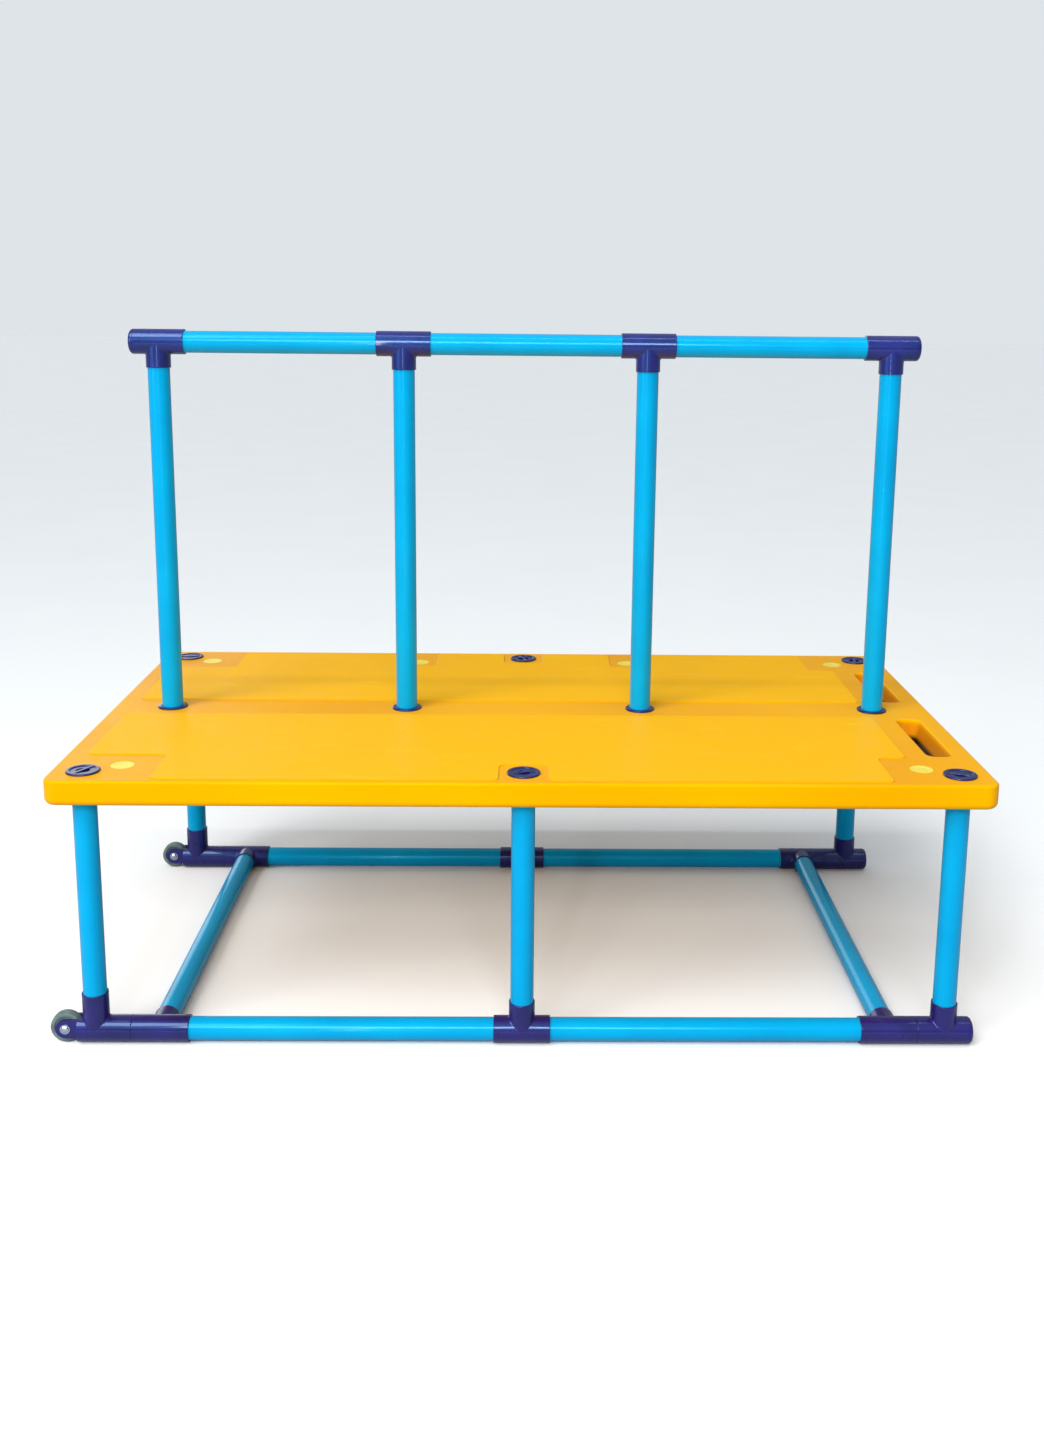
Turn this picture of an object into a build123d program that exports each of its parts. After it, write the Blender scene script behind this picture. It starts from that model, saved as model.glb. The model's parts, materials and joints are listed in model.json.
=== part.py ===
from build123d import *
import os

# Submersible standing platform for shallow-water swim lessons, with a guard rail.
# Millimetres. +X to the right, +Y to the rear, +Z up. The origin is on the pool
# floor, under the middle of the whole object's length and depth.

# ---------------------------------------------------------------- driving dimensions

# deck panel
DECK_LENGTH = 2000.0
DECK_WIDTH = 1100.0
DECK_THICKNESS = 56.0
DECK_TOP_Z = 618.0
DECK_CORNER_R = 30.0
DECK_TOP_EDGE_R = 6.0
DECK_BOTTOM_EDGE_R = 14.0
DECK_SKIN = 5.0

# raised standing fields of the deck, one each side of the centre band
FIELD_RISE = 2.0
FIELD_CHAMFER = 1.6
FIELD_CORNER_R = 16.0
CENTRE_BAND = 122.0
FIELD_LEFT_BORDER = 45.0
FIELD_RIGHT_BORDER = 155.0
FIELD_EDGE_BORDER = 15.0
CORNER_NOTCH_X = 220.0
CORNER_NOTCH_Y = 175.0
PLUG_NOTCH_MARGIN = 21.0
CAP_NOTCH_MARGIN = 16.0

# carrying holes at the right end of the deck
GRIP_WIDTH = 58.0
GRIP_CORNER_R = 22.0
GRIP_TAPER = 12.0
GRIP_WALL = 5.0
GRIP_LIP_R = 4.5
GRIP_EDGE_INSET = 45.0
GRIP_HALF_SPACING = 74.0
GRIP_LEG_SPACING = 127.0

# underside of the deck
DIMPLE_COLUMNS = 6
DIMPLE_MOUTH_R = 20.0
DIMPLE_TIP_R = 9.0
DRAIN_R = 8.0

# pipes and fittings
PIPE_OD = 50.8
PIPE_WALL = 3.0
RUN_WALL = 3.75
STEM_WALL = 3.0
CROTCH_R = 3.5
SOCKET_DEPTH = 32.0
CROSS_SOCKET_DEPTH = 21.0
SOCKET_GAP = 0.1
STOP_RISE = 0.4
RIM_R = 1.2
PLUG_FLANGE = 10.0
PLUG_FLANGE_R = 8.0
PLUG_SPIGOT = 16.0

# how far the stop of each socket stands clear of the pipe that crosses it
RUN_STOP = 4.6
LEG_STOP = 9.6
WHEEL_LEG_STOP = 28.6
WHEEL_RUN_STOP = 22.6
CROSS_STOP = 1.6
RAIL_RUN_STOP = 6.1
RAIL_STEM_STOP = 2.6

# legs
LEG_INSET_X = 70.5
LEG_INSET_Y = 65.0
LEG_SEAT_DEPTH = 12.0
DECK_BOSS_WALL = 6.0

# locking caps over the legs
CAP_R = 36.0
CAP_RISE = 4.0
CAP_EDGE_R = 2.4
CAP_RIM = 9.0
CAP_DISH_DEPTH = 2.0
CAP_POCKET_DEPTH = 10.0
CAP_BAR = 8.0
CAP_SPIGOT_WALL = 3.3
CAP_TURNS = {
    "front_left": 62.0,
    "front_middle": 20.0,
    "front_right": 155.0,
    "rear_left": 8.0,
    "rear_middle": 110.0,
    "rear_right": 80.0,
}
INSERT_HEIGHT = 16.0
INSERT_WALL = 4.7
INSERT_GAP = 0.1
LUG_CLEARANCE = 2.0
LUG_WIDTH = 10.0
LUG_HEIGHT = 4.0
TURN_GAP = 0.3

# flush plugs of the deck
DECK_PLUG_R = 25.0
DECK_PLUG_HEAD = 5.0
DECK_PLUG_LIP = 6.2
DECK_PLUG_SPIGOT = 13.0
DECK_PLUG_WALL = 3.0
DECK_PLUG_INSET_X = 142.0
DECK_PLUG_INSET_Y = 106.0
FIT_GAP = 0.2

# guard rail
RAIL_HEIGHT = 882.0
POST_INSET = 141.25
RAIL_SOCKET_LIP = 6.5
RAIL_SOCKET_BEAD = 5.0
RAIL_SOCKET_EDGE_R = 4.0
RAIL_SOCKET_WALL = 3.8
RAIL_SOCKET_DROP = 24.0
RAIL_SOCKET_LEDGE = 4.0
SLIDE_GAP = 0.3
LOCK_RING_HEIGHT = 12.0
LOCK_RING_WALL = 8.5

# transport wheels
WHEEL_R = 34.0
WHEEL_WIDTH = 22.0
WHEEL_SHOULDER_R = 5.0
WHEEL_FLOOR_GAP = 1.0
WHEEL_HUB_WALL = 5.0
WHEEL_RIM = 9.0
WHEEL_RECESS_DEPTH = 3.0
WHEEL_SIDE_GAP = 1.0
AXLE_R = 4.0
AXLE_GAP = 0.08
BUSH_WALL = 3.0
BUSH_GAP = 0.05
FORK_CHEEK = 6.0
FORK_END_R = 21.0
FORK_ROOT_WALL = 3.5
FORK_SHOULDER = 12.0
FORK_WHEEL_GAP = 1.5
BOLT_HEAD_MARGIN = 4.5
BOLT_HEAD_HEIGHT = 4.5
WASHER_MARGIN = 7.0
WASHER_T = 1.5
NUT_ACROSS_FLATS = 13.0
NUT_HEIGHT = 5.0
NUT_DOME_MARGIN = 1.0

# ---------------------------------------------------------------- worked-out places

PIPE_R = PIPE_OD / 2
PIPE_BORE_R = PIPE_R - PIPE_WALL
SOCKET_R = PIPE_R + SOCKET_GAP
TEE_R = SOCKET_R + RUN_WALL
STEM_R = SOCKET_R + STEM_WALL
PASSAGE_R = PIPE_BORE_R - STOP_RISE

RUN_REACH = PIPE_R + RUN_STOP + SOCKET_DEPTH
LEG_STEM_REACH = PIPE_R + LEG_STOP + SOCKET_DEPTH
WHEEL_STEM_REACH = PIPE_R + WHEEL_LEG_STOP + SOCKET_DEPTH
WHEEL_TEE_INNER_REACH = PIPE_R + WHEEL_RUN_STOP + SOCKET_DEPTH
CROSS_STEM_REACH = PIPE_R + CROSS_STOP + CROSS_SOCKET_DEPTH
RAIL_RUN_REACH = PIPE_R + RAIL_RUN_STOP + SOCKET_DEPTH
RAIL_STEM_REACH = PIPE_R + RAIL_STEM_STOP + SOCKET_DEPTH

BUSH_R = AXLE_R + BUSH_WALL
BOLT_HEAD_R = AXLE_R + BOLT_HEAD_MARGIN
BOLT_DOME_R = (BOLT_HEAD_R**2 + BOLT_HEAD_HEIGHT**2) / (2 * BOLT_HEAD_HEIGHT)
WASHER_R = AXLE_R + WASHER_MARGIN
NUT_DOME_R = AXLE_R + NUT_DOME_MARGIN
WHEEL_RECESS_IN_R = BUSH_R + WHEEL_HUB_WALL
WHEEL_RECESS_OUT_R = WHEEL_R - WHEEL_RIM
FORK_GAP = WHEEL_WIDTH + 2 * WHEEL_SIDE_GAP
FORK_BODY_REACH = SOCKET_R + FORK_SHOULDER
AXLE_REACH = SOCKET_R + FORK_ROOT_WALL + FORK_WHEEL_GAP + WHEEL_R

LEG_X = DECK_LENGTH / 2 - LEG_INSET_X
LEG_Y = DECK_WIDTH / 2 - LEG_INSET_Y
WHEEL_REACH = LEG_X + AXLE_REACH + WHEEL_R
CENTRE_X = (WHEEL_REACH - DECK_LENGTH / 2) / 2

DECK_BOTTOM_Z = DECK_TOP_Z - DECK_THICKNESS
BASE_Z = TEE_R
AXLE_Z = WHEEL_R + WHEEL_FLOOR_GAP
RAIL_Z = DECK_TOP_Z + RAIL_HEIGHT
LEG_TOP_Z = DECK_TOP_Z - LEG_SEAT_DEPTH

LEFT_LEG_X = CENTRE_X - LEG_X
RIGHT_LEG_X = CENTRE_X + LEG_X
AXLE_X = LEFT_LEG_X - AXLE_REACH
LEFT_CROSS_X = LEFT_LEG_X + WHEEL_TEE_INNER_REACH + RUN_REACH
RIGHT_CROSS_X = RIGHT_LEG_X - 2 * RUN_REACH

POST_PITCH = (DECK_LENGTH - 2 * POST_INSET) / 3
POST_X = [CENTRE_X + (i - 1.5) * POST_PITCH for i in range(4)]
SIDES = {"front": -LEG_Y, "rear": LEG_Y}
COLUMNS = {"left": LEFT_LEG_X, "middle": CENTRE_X, "right": RIGHT_LEG_X}

CORNER_PLUG_X = DECK_LENGTH / 2 - DECK_PLUG_INSET_X
PLUG_Y = DECK_WIDTH / 2 - DECK_PLUG_INSET_Y
PLUG_PLACES = [
    (CENTRE_X - CORNER_PLUG_X, -PLUG_Y),
    (CENTRE_X + CORNER_PLUG_X, -PLUG_Y),
    (CENTRE_X - CORNER_PLUG_X, PLUG_Y),
    (CENTRE_X + CORNER_PLUG_X, PLUG_Y),
    (POST_X[1], PLUG_Y),
    (POST_X[2], PLUG_Y),
]
LEG_PLACES = [(x, y) for y in SIDES.values() for x in COLUMNS.values()]
POST_PLACES = [(x, 0) for x in POST_X]

LEG_BORE_R = PIPE_R + FIT_GAP
LEG_BOSS_R = LEG_BORE_R + DECK_BOSS_WALL
LUG_REACH = PIPE_BORE_R - LUG_CLEARANCE
CAP_HOLE_R = PIPE_BORE_R - INSERT_GAP - INSERT_WALL
CAP_SPIGOT_R = CAP_HOLE_R - TURN_GAP
CAP_POCKET_R = CAP_SPIGOT_R - CAP_SPIGOT_WALL
CAP_DISH_R = CAP_R - CAP_RIM
RAIL_SOCKET_BORE_R = PIPE_R + SLIDE_GAP
RAIL_SOCKET_R = RAIL_SOCKET_BORE_R + RAIL_SOCKET_WALL
RAIL_SOCKET_FLANGE_R = RAIL_SOCKET_R + RAIL_SOCKET_LIP
RAIL_HOLE_R = RAIL_SOCKET_R + FIT_GAP
RAIL_BOSS_R = RAIL_HOLE_R + DECK_BOSS_WALL
DECK_PLUG_SPIGOT_R = DECK_PLUG_R - DECK_PLUG_LIP
PLUG_RECESS_R = DECK_PLUG_R + FIT_GAP
PLUG_HOLE_R = DECK_PLUG_SPIGOT_R + FIT_GAP
PLUG_BOSS_R = PLUG_RECESS_R + DECK_BOSS_WALL
PLUG_BOSS_HEIGHT = DECK_PLUG_HEAD + DECK_BOSS_WALL
PLUG_NOTCH_HALF = DECK_PLUG_R + PLUG_NOTCH_MARGIN
CAP_NOTCH_HALF = CAP_R + CAP_NOTCH_MARGIN

GRIP_LENGTH = LEG_Y - GRIP_LEG_SPACING - GRIP_HALF_SPACING
GRIP_CENTRE_Y = GRIP_HALF_SPACING + GRIP_LENGTH / 2
GRIP_X = CENTRE_X + DECK_LENGTH / 2 - GRIP_EDGE_INSET - GRIP_WIDTH / 2
GRIP_PLACES = [(GRIP_X, -GRIP_CENTRE_Y), (GRIP_X, GRIP_CENTRE_Y)]

# dimples fill the bays between the rows of legs and posts, drains lie between the dimples
DIMPLE_PITCH_X = POST_PITCH / 2
DIMPLE_PITCH_Y = LEG_Y / 3
DIMPLE_PLACES = [
    (CENTRE_X + (i - (DIMPLE_COLUMNS - 1) / 2) * DIMPLE_PITCH_X, row * DIMPLE_PITCH_Y)
    for i in range(DIMPLE_COLUMNS)
    for row in (-2, -1, 1, 2)
]
DRAIN_PLACES = [
    (CENTRE_X + i * POST_PITCH, side * DIMPLE_PITCH_Y * 3 / 2) for i in (-1, 0, 1) for side in (-1, 1)
]

os.makedirs("parts", exist_ok=True)


def save(part, name):
    """Label a finished piece and write it to its own file."""
    part.label = name
    export_step(part, f"parts/{name}.step")


# ---------------------------------------------------------------- deck panel


def field_outline(side):
    """Sketch one raised field: side is -1 for the front one and 1 for the rear one."""
    left = CENTRE_X - DECK_LENGTH / 2 + FIELD_LEFT_BORDER
    right = CENTRE_X + DECK_LENGTH / 2 - FIELD_RIGHT_BORDER
    inner = CENTRE_BAND / 2
    outer = DECK_WIDTH / 2 - FIELD_EDGE_BORDER
    corner_inner = DECK_WIDTH / 2 - CORNER_NOTCH_Y
    middle_y = side * (inner + outer) / 2
    with BuildSketch(Plane.XY.offset(DECK_TOP_Z - DECK_SKIN / 2)) as outline:
        with Locations(((left + right) / 2, middle_y)):
            Rectangle(right - left, outer - inner)
        for end in (-1, 1):
            corner_x = CENTRE_X + end * DECK_LENGTH / 2
            with Locations((corner_x, side * (corner_inner + DECK_WIDTH / 2) / 2)):
                Rectangle(2 * CORNER_NOTCH_X, DECK_WIDTH / 2 - corner_inner, mode=Mode.SUBTRACT)
        cap_reach = outer - LEG_Y + CAP_NOTCH_HALF
        with Locations((CENTRE_X, side * (outer - cap_reach / 2))):
            Rectangle(2 * CAP_NOTCH_HALF, cap_reach, mode=Mode.SUBTRACT)
        if side > 0:
            plug_reach = outer - PLUG_Y + PLUG_NOTCH_HALF
            with Locations(*[(x, outer - plug_reach / 2) for x in POST_X[1:3]]):
                Rectangle(2 * PLUG_NOTCH_HALF, plug_reach, mode=Mode.SUBTRACT)
        fillet(outline.vertices(), FIELD_CORNER_R)
    return outline.sketch


front_field = field_outline(-1)
rear_field = field_outline(1)

with BuildPart() as deck_panel:
    with BuildSketch(Plane.XY.offset(DECK_BOTTOM_Z)):
        with Locations((CENTRE_X, 0)):
            RectangleRounded(DECK_LENGTH, DECK_WIDTH, DECK_CORNER_R)
    extrude(amount=DECK_THICKNESS)
    fillet(deck_panel.faces().sort_by(Axis.Z)[-1].edges(), DECK_TOP_EDGE_R)
    fillet(deck_panel.faces().sort_by(Axis.Z)[0].edges(), DECK_BOTTOM_EDGE_R)
    for field in (front_field, rear_field):
        extrude(field, amount=FIELD_RISE + DECK_SKIN / 2)
    chamfer(deck_panel.faces().sort_by(Axis.Z)[-2:].edges(), FIELD_CHAMFER)

    # hollow inside, with the same skin all round
    with BuildSketch(Plane.XY.offset(DECK_BOTTOM_Z + DECK_SKIN)):
        with Locations((CENTRE_X, 0)):
            RectangleRounded(
                DECK_LENGTH - 2 * DECK_SKIN, DECK_WIDTH - 2 * DECK_SKIN, DECK_CORNER_R - DECK_SKIN
            )
    extrude(amount=DECK_THICKNESS - 2 * DECK_SKIN, mode=Mode.SUBTRACT)

    # bosses for the legs and the rail sockets run from skin to skin
    with BuildSketch(Plane.XY.offset(DECK_BOTTOM_Z + DECK_SKIN / 2)):
        with Locations(*LEG_PLACES):
            Circle(LEG_BOSS_R)
        with Locations(*POST_PLACES):
            Circle(RAIL_BOSS_R)
    extrude(amount=DECK_THICKNESS - DECK_SKIN)

    # shallow bosses hang under the top skin where the flush plugs sit
    with BuildSketch(Plane.XY.offset(DECK_TOP_Z - DECK_SKIN / 2)):
        with Locations(*PLUG_PLACES):
            Circle(PLUG_BOSS_R)
    extrude(amount=DECK_SKIN / 2 - PLUG_BOSS_HEIGHT)

    # hollow dimples rise from the bottom skin and hold up the top skin
    with Locations(*[(x, y, (DECK_BOTTOM_Z + DECK_TOP_Z) / 2) for x, y in DIMPLE_PLACES]):
        Cone(DIMPLE_MOUTH_R + DECK_SKIN, DIMPLE_TIP_R + DECK_SKIN, DECK_THICKNESS - DECK_SKIN)
    with Locations(*[(x, y, DECK_BOTTOM_Z + DECK_THICKNESS / 2 - DECK_SKIN) for x, y in DIMPLE_PLACES]):
        Cone(DIMPLE_MOUTH_R, DIMPLE_TIP_R, DECK_THICKNESS - 2 * DECK_SKIN, mode=Mode.SUBTRACT)

    # carrying holes: a tapered wall round a tapered hole
    with BuildSketch(Plane.XY.offset(DECK_TOP_Z)):
        with Locations(*GRIP_PLACES):
            RectangleRounded(
                GRIP_WIDTH + 2 * GRIP_WALL, GRIP_LENGTH + 2 * GRIP_WALL, GRIP_CORNER_R + GRIP_WALL
            )
    extrude(amount=-DECK_THICKNESS, taper=GRIP_TAPER)
    with BuildSketch(Plane.XY.offset(DECK_TOP_Z)) as grip_mouths:
        with Locations(*GRIP_PLACES):
            RectangleRounded(GRIP_WIDTH, GRIP_LENGTH, GRIP_CORNER_R)
    extrude(amount=-DECK_THICKNESS, taper=GRIP_TAPER, mode=Mode.SUBTRACT)
    grip_lips = [
        edge
        for edge in deck_panel.edges().filter_by_position(Axis.Z, DECK_TOP_Z, DECK_TOP_Z)
        if abs(edge.center().X - GRIP_X) <= GRIP_WIDTH / 2
        and abs(abs(edge.center().Y) - GRIP_CENTRE_Y) <= GRIP_LENGTH / 2
    ]
    fillet(grip_lips, GRIP_LIP_R)

    # bores for the leg tops, with a shoulder that the pipe ends carry
    with BuildSketch(Plane.XY.offset(DECK_BOTTOM_Z)):
        with Locations(*LEG_PLACES):
            Circle(LEG_BORE_R)
    extrude(amount=LEG_TOP_Z - DECK_BOTTOM_Z, mode=Mode.SUBTRACT)
    with BuildSketch(Plane.XY.offset(LEG_TOP_Z)):
        with Locations(*LEG_PLACES):
            Circle(CAP_HOLE_R)
    extrude(amount=LEG_SEAT_DEPTH, mode=Mode.SUBTRACT)

    # through holes for the rail sockets, stepped holes for the plugs, drains below
    with BuildSketch(Plane.XY.offset(DECK_BOTTOM_Z)):
        with Locations(*POST_PLACES):
            Circle(RAIL_HOLE_R)
    extrude(amount=DECK_THICKNESS, mode=Mode.SUBTRACT)
    with BuildSketch(Plane.XY.offset(DECK_TOP_Z)):
        with Locations(*PLUG_PLACES):
            Circle(PLUG_RECESS_R)
    extrude(amount=-DECK_PLUG_HEAD, mode=Mode.SUBTRACT)
    with BuildSketch(Plane.XY.offset(DECK_TOP_Z)):
        with Locations(*PLUG_PLACES):
            Circle(PLUG_HOLE_R)
    extrude(amount=-PLUG_BOSS_HEIGHT, mode=Mode.SUBTRACT)
    with BuildSketch(Plane.XY.offset(DECK_BOTTOM_Z)):
        with Locations(*DRAIN_PLACES):
            Circle(DRAIN_R)
    extrude(amount=DECK_SKIN, mode=Mode.SUBTRACT)

deck_panel.part.label = "deck_panel"
export_step(deck_panel.part, "parts/deck_panel.step")

with BuildPart() as deck_plugs:
    with BuildSketch(Plane.XY.offset(DECK_TOP_Z)):
        with Locations(*PLUG_PLACES):
            Circle(DECK_PLUG_R)
    extrude(amount=-DECK_PLUG_HEAD)
    with BuildSketch(Plane.XY.offset(DECK_TOP_Z - DECK_PLUG_HEAD)):
        with Locations(*PLUG_PLACES):
            Circle(DECK_PLUG_SPIGOT_R)
            Circle(DECK_PLUG_SPIGOT_R - DECK_PLUG_WALL, mode=Mode.SUBTRACT)
    extrude(amount=-DECK_PLUG_SPIGOT)
    chamfer(deck_plugs.faces().sort_by(Axis.Z)[-len(PLUG_PLACES):].edges(), FIT_GAP)

deck_plugs.part.label = "deck_plugs"
export_step(deck_plugs.part, "parts/deck_plugs.step")


# ---------------------------------------------------------------- pipes and fittings


def pipe(start, direction, length):
    """One length of pipe from the point start along direction."""
    with BuildPart() as tube:
        with BuildSketch(Plane(origin=start, z_dir=direction)):
            Circle(PIPE_R)
            Circle(PIPE_BORE_R, mode=Mode.SUBTRACT)
        extrude(amount=length)
    return tube.part


def bore(mouth, socket_depth, passage_depth):
    """The hollow behind one mouth: a pipe socket, then the narrower passage."""
    with BuildPart() as hollow:
        with BuildSketch(mouth):
            Circle(SOCKET_R)
        extrude(amount=socket_depth)
        with BuildSketch(mouth):
            Circle(PASSAGE_R)
        extrude(amount=passage_depth)
    return hollow.part


def round_edges(fitting, mouths):
    """Round the crotch between run and stem, and the rim of each mouth, before the bores are cut."""
    straight_or_round = (GeomType.LINE, GeomType.CIRCLE)
    fillet(fitting.edges().filter_by(lambda e: e.geom_type not in straight_or_round), CROTCH_R)
    for mouth in mouths:
        rim = fitting.edges().filter_by(GeomType.CIRCLE).sort_by_distance(mouth.origin)[0]
        fillet(rim, RIM_R)


def tee(centre, stem_axis, left, right, stem, stem_socket=SOCKET_DEPTH):
    """A pipe tee with its run along X and one stem, with a socket at each of its three mouths."""
    middle = Vector(*centre)
    out = Vector(*stem_axis)
    left_mouth = Plane(origin=middle - Vector(left, 0, 0), z_dir=(1, 0, 0))
    right_mouth = Plane(origin=middle + Vector(right, 0, 0), z_dir=(-1, 0, 0))
    stem_mouth = Plane(origin=middle + out * stem, z_dir=-out)
    with BuildPart() as fitting:
        with BuildSketch(left_mouth):
            Circle(TEE_R)
        extrude(amount=left + right)
        with BuildSketch(stem_mouth):
            Circle(STEM_R)
        extrude(amount=stem)
        round_edges(fitting, (left_mouth, right_mouth, stem_mouth))
        add(bore(left_mouth, SOCKET_DEPTH, left + right), mode=Mode.SUBTRACT)
        add(bore(right_mouth, SOCKET_DEPTH, right), mode=Mode.SUBTRACT)
        add(bore(stem_mouth, stem_socket, stem), mode=Mode.SUBTRACT)
    return fitting.part


def end_plug(mouth):
    """A closing plug whose flange covers a fitting's mouth; the plane's z points outwards."""
    with BuildPart() as plug:
        with BuildSketch(mouth):
            Circle(TEE_R)
        extrude(amount=PLUG_FLANGE)
        outer_face = mouth.origin + mouth.z_dir * PLUG_FLANGE
        outer_rim = plug.edges().filter_by(GeomType.CIRCLE).sort_by_distance(outer_face)[0]
        fillet(outer_rim, PLUG_FLANGE_R)
        with BuildSketch(mouth):
            Circle(PIPE_R)
            Circle(PIPE_BORE_R, mode=Mode.SUBTRACT)
        extrude(amount=-PLUG_SPIGOT)
    return plug.part


# ---------------------------------------------------------------- base frame

for side, y in SIDES.items():
    inwards = (0, -1, 0) if y > 0 else (0, 1, 0)
    for place, x in (("left", LEFT_CROSS_X), ("right", RIGHT_CROSS_X)):
        cross = tee((x, y, BASE_Z), inwards, RUN_REACH, RUN_REACH, CROSS_STEM_REACH, CROSS_SOCKET_DEPTH)
        save(cross, f"cross_tee_{side}_{place}")
    middle_tee = tee((CENTRE_X, y, BASE_Z), (0, 0, 1), RUN_REACH, RUN_REACH, LEG_STEM_REACH)
    save(middle_tee, f"middle_tee_{side}")
    end_tee = tee(
        (RIGHT_LEG_X, y, BASE_Z), (0, 0, 1), RUN_REACH, RUN_REACH - PLUG_FLANGE, LEG_STEM_REACH
    )
    save(end_tee, f"end_tee_{side}")
    for place, x_from, x_to in (
        ("left", LEFT_CROSS_X, CENTRE_X),
        ("right", CENTRE_X, RIGHT_CROSS_X),
    ):
        start = x_from + RUN_REACH - SOCKET_DEPTH
        length = x_to - x_from - 2 * (RUN_REACH - SOCKET_DEPTH)
        save(pipe((start, y, BASE_Z), (1, 0, 0), length), f"base_tube_{side}_{place}")

for place, x in (("left", LEFT_CROSS_X), ("right", RIGHT_CROSS_X)):
    start = -LEG_Y + CROSS_STEM_REACH - CROSS_SOCKET_DEPTH
    save(pipe((x, start, BASE_Z), (0, 1, 0), -2 * start), f"cross_tube_{place}")

with BuildPart() as base_end_plugs:
    for y in SIDES.values():
        mouth_x = RIGHT_LEG_X + RUN_REACH - PLUG_FLANGE
        add(end_plug(Plane(origin=(mouth_x, y, BASE_Z), z_dir=(1, 0, 0))))

base_end_plugs.part.label = "base_end_plugs"
export_step(base_end_plugs.part, "parts/base_end_plugs.step")

with BuildPart() as joining_nipples:
    for y in SIDES.values():
        for seam_x in (LEFT_CROSS_X - RUN_REACH, RIGHT_CROSS_X + RUN_REACH):
            start = Plane(origin=(seam_x - SOCKET_DEPTH, y, BASE_Z), z_dir=(1, 0, 0))
            with BuildSketch(start):
                Circle(PIPE_R)
                Circle(PIPE_BORE_R, mode=Mode.SUBTRACT)
            extrude(amount=2 * SOCKET_DEPTH)

joining_nipples.part.label = "joining_nipples"
export_step(joining_nipples.part, "parts/joining_nipples.step")

for side, y in SIDES.items():
    for place, x in COLUMNS.items():
        stem = WHEEL_STEM_REACH if place == "left" else LEG_STEM_REACH
        foot_z = BASE_Z + stem - SOCKET_DEPTH
        save(pipe((x, y, foot_z), (0, 0, 1), LEG_TOP_Z - foot_z), f"leg_{side}_{place}")


# ---------------------------------------------------------------- wheel tees and wheels


def wheel_tee(y):
    """The leg tee at the wheel end: closed at its outer side, where it becomes a fork."""
    run_mouth = Plane(origin=(LEFT_LEG_X + WHEEL_TEE_INNER_REACH, y, BASE_Z), z_dir=(-1, 0, 0))
    stem_mouth = Plane(origin=(LEFT_LEG_X, y, BASE_Z + WHEEL_STEM_REACH), z_dir=(0, 0, -1))
    slot_floor = AXLE_X + WHEEL_R + FORK_WHEEL_GAP
    fork_width = FORK_GAP + 2 * FORK_CHEEK
    with BuildPart() as fitting:
        with BuildSketch(run_mouth):
            Circle(TEE_R)
        extrude(amount=WHEEL_TEE_INNER_REACH + FORK_BODY_REACH)
        with BuildSketch(stem_mouth):
            Circle(STEM_R)
        extrude(amount=WHEEL_STEM_REACH)
        round_edges(fitting, (run_mouth, stem_mouth))
        # cheeks: a straight-sided tongue with a round end about the axle
        with BuildSketch(Plane(origin=(0, y + fork_width / 2, 0), x_dir=(1, 0, 0), z_dir=(0, -1, 0))):
            with Locations((AXLE_X, AXLE_Z)):
                Circle(FORK_END_R)
            with Locations(((AXLE_X + slot_floor) / 2 + FORK_CHEEK / 2, AXLE_Z)):
                Rectangle(slot_floor - AXLE_X + FORK_CHEEK, 2 * FORK_END_R)
        extrude(amount=fork_width)
        # slot for the wheel, open at the outer end, above and below
        with Locations((slot_floor - WHEEL_REACH / 2, y, BASE_Z)):
            Box(WHEEL_REACH, FORK_GAP, 4 * WHEEL_R, mode=Mode.SUBTRACT)
        with BuildSketch(Plane(origin=(0, y + fork_width, 0), x_dir=(1, 0, 0), z_dir=(0, -1, 0))):
            with Locations((AXLE_X, AXLE_Z)):
                Circle(AXLE_R + AXLE_GAP)
        extrude(amount=2 * fork_width, mode=Mode.SUBTRACT)
        add(bore(run_mouth, SOCKET_DEPTH, WHEEL_TEE_INNER_REACH), mode=Mode.SUBTRACT)
        add(bore(stem_mouth, SOCKET_DEPTH, WHEEL_STEM_REACH), mode=Mode.SUBTRACT)
    return fitting.part


def wheel(y):
    """A solid moulded wheel with round shoulders and a shallow ring recess in each face."""
    half = WHEEL_WIDTH / 2
    with BuildPart() as roller:
        with BuildSketch(Plane(origin=(AXLE_X, y, AXLE_Z), x_dir=(0, 1, 0), z_dir=(1, 0, 0))) as profile:
            with Locations((0, (BUSH_R + BUSH_GAP + WHEEL_R) / 2)):
                Rectangle(WHEEL_WIDTH, WHEEL_R - BUSH_R - BUSH_GAP)
            fillet(profile.vertices().group_by(Axis.Z)[-1], WHEEL_SHOULDER_R)
            recess_r = (WHEEL_RECESS_IN_R + WHEEL_RECESS_OUT_R) / 2
            with Locations((-half, recess_r), (half, recess_r)):
                Rectangle(
                    2 * WHEEL_RECESS_DEPTH, WHEEL_RECESS_OUT_R - WHEEL_RECESS_IN_R, mode=Mode.SUBTRACT
                )
        revolve(axis=Axis((AXLE_X, y, AXLE_Z), (0, 1, 0)))
    return roller.part


def wheel_bush(y):
    """The plain bush pressed into a wheel, which turns on the axle bolt."""
    length = FORK_GAP - 2 * FIT_GAP
    with BuildPart() as bush:
        with BuildSketch(Plane(origin=(AXLE_X, y - length / 2, AXLE_Z), z_dir=(0, 1, 0))):
            Circle(BUSH_R)
            Circle(AXLE_R + AXLE_GAP, mode=Mode.SUBTRACT)
        extrude(amount=length)
    return bush.part


CHEEK_FACE = FORK_GAP / 2 + FORK_CHEEK

for side, y in SIDES.items():
    save(wheel_tee(y), f"wheel_tee_{side}")
    save(wheel(y), f"wheel_{side}")
    save(wheel_bush(y), f"wheel_bush_{side}")

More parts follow.
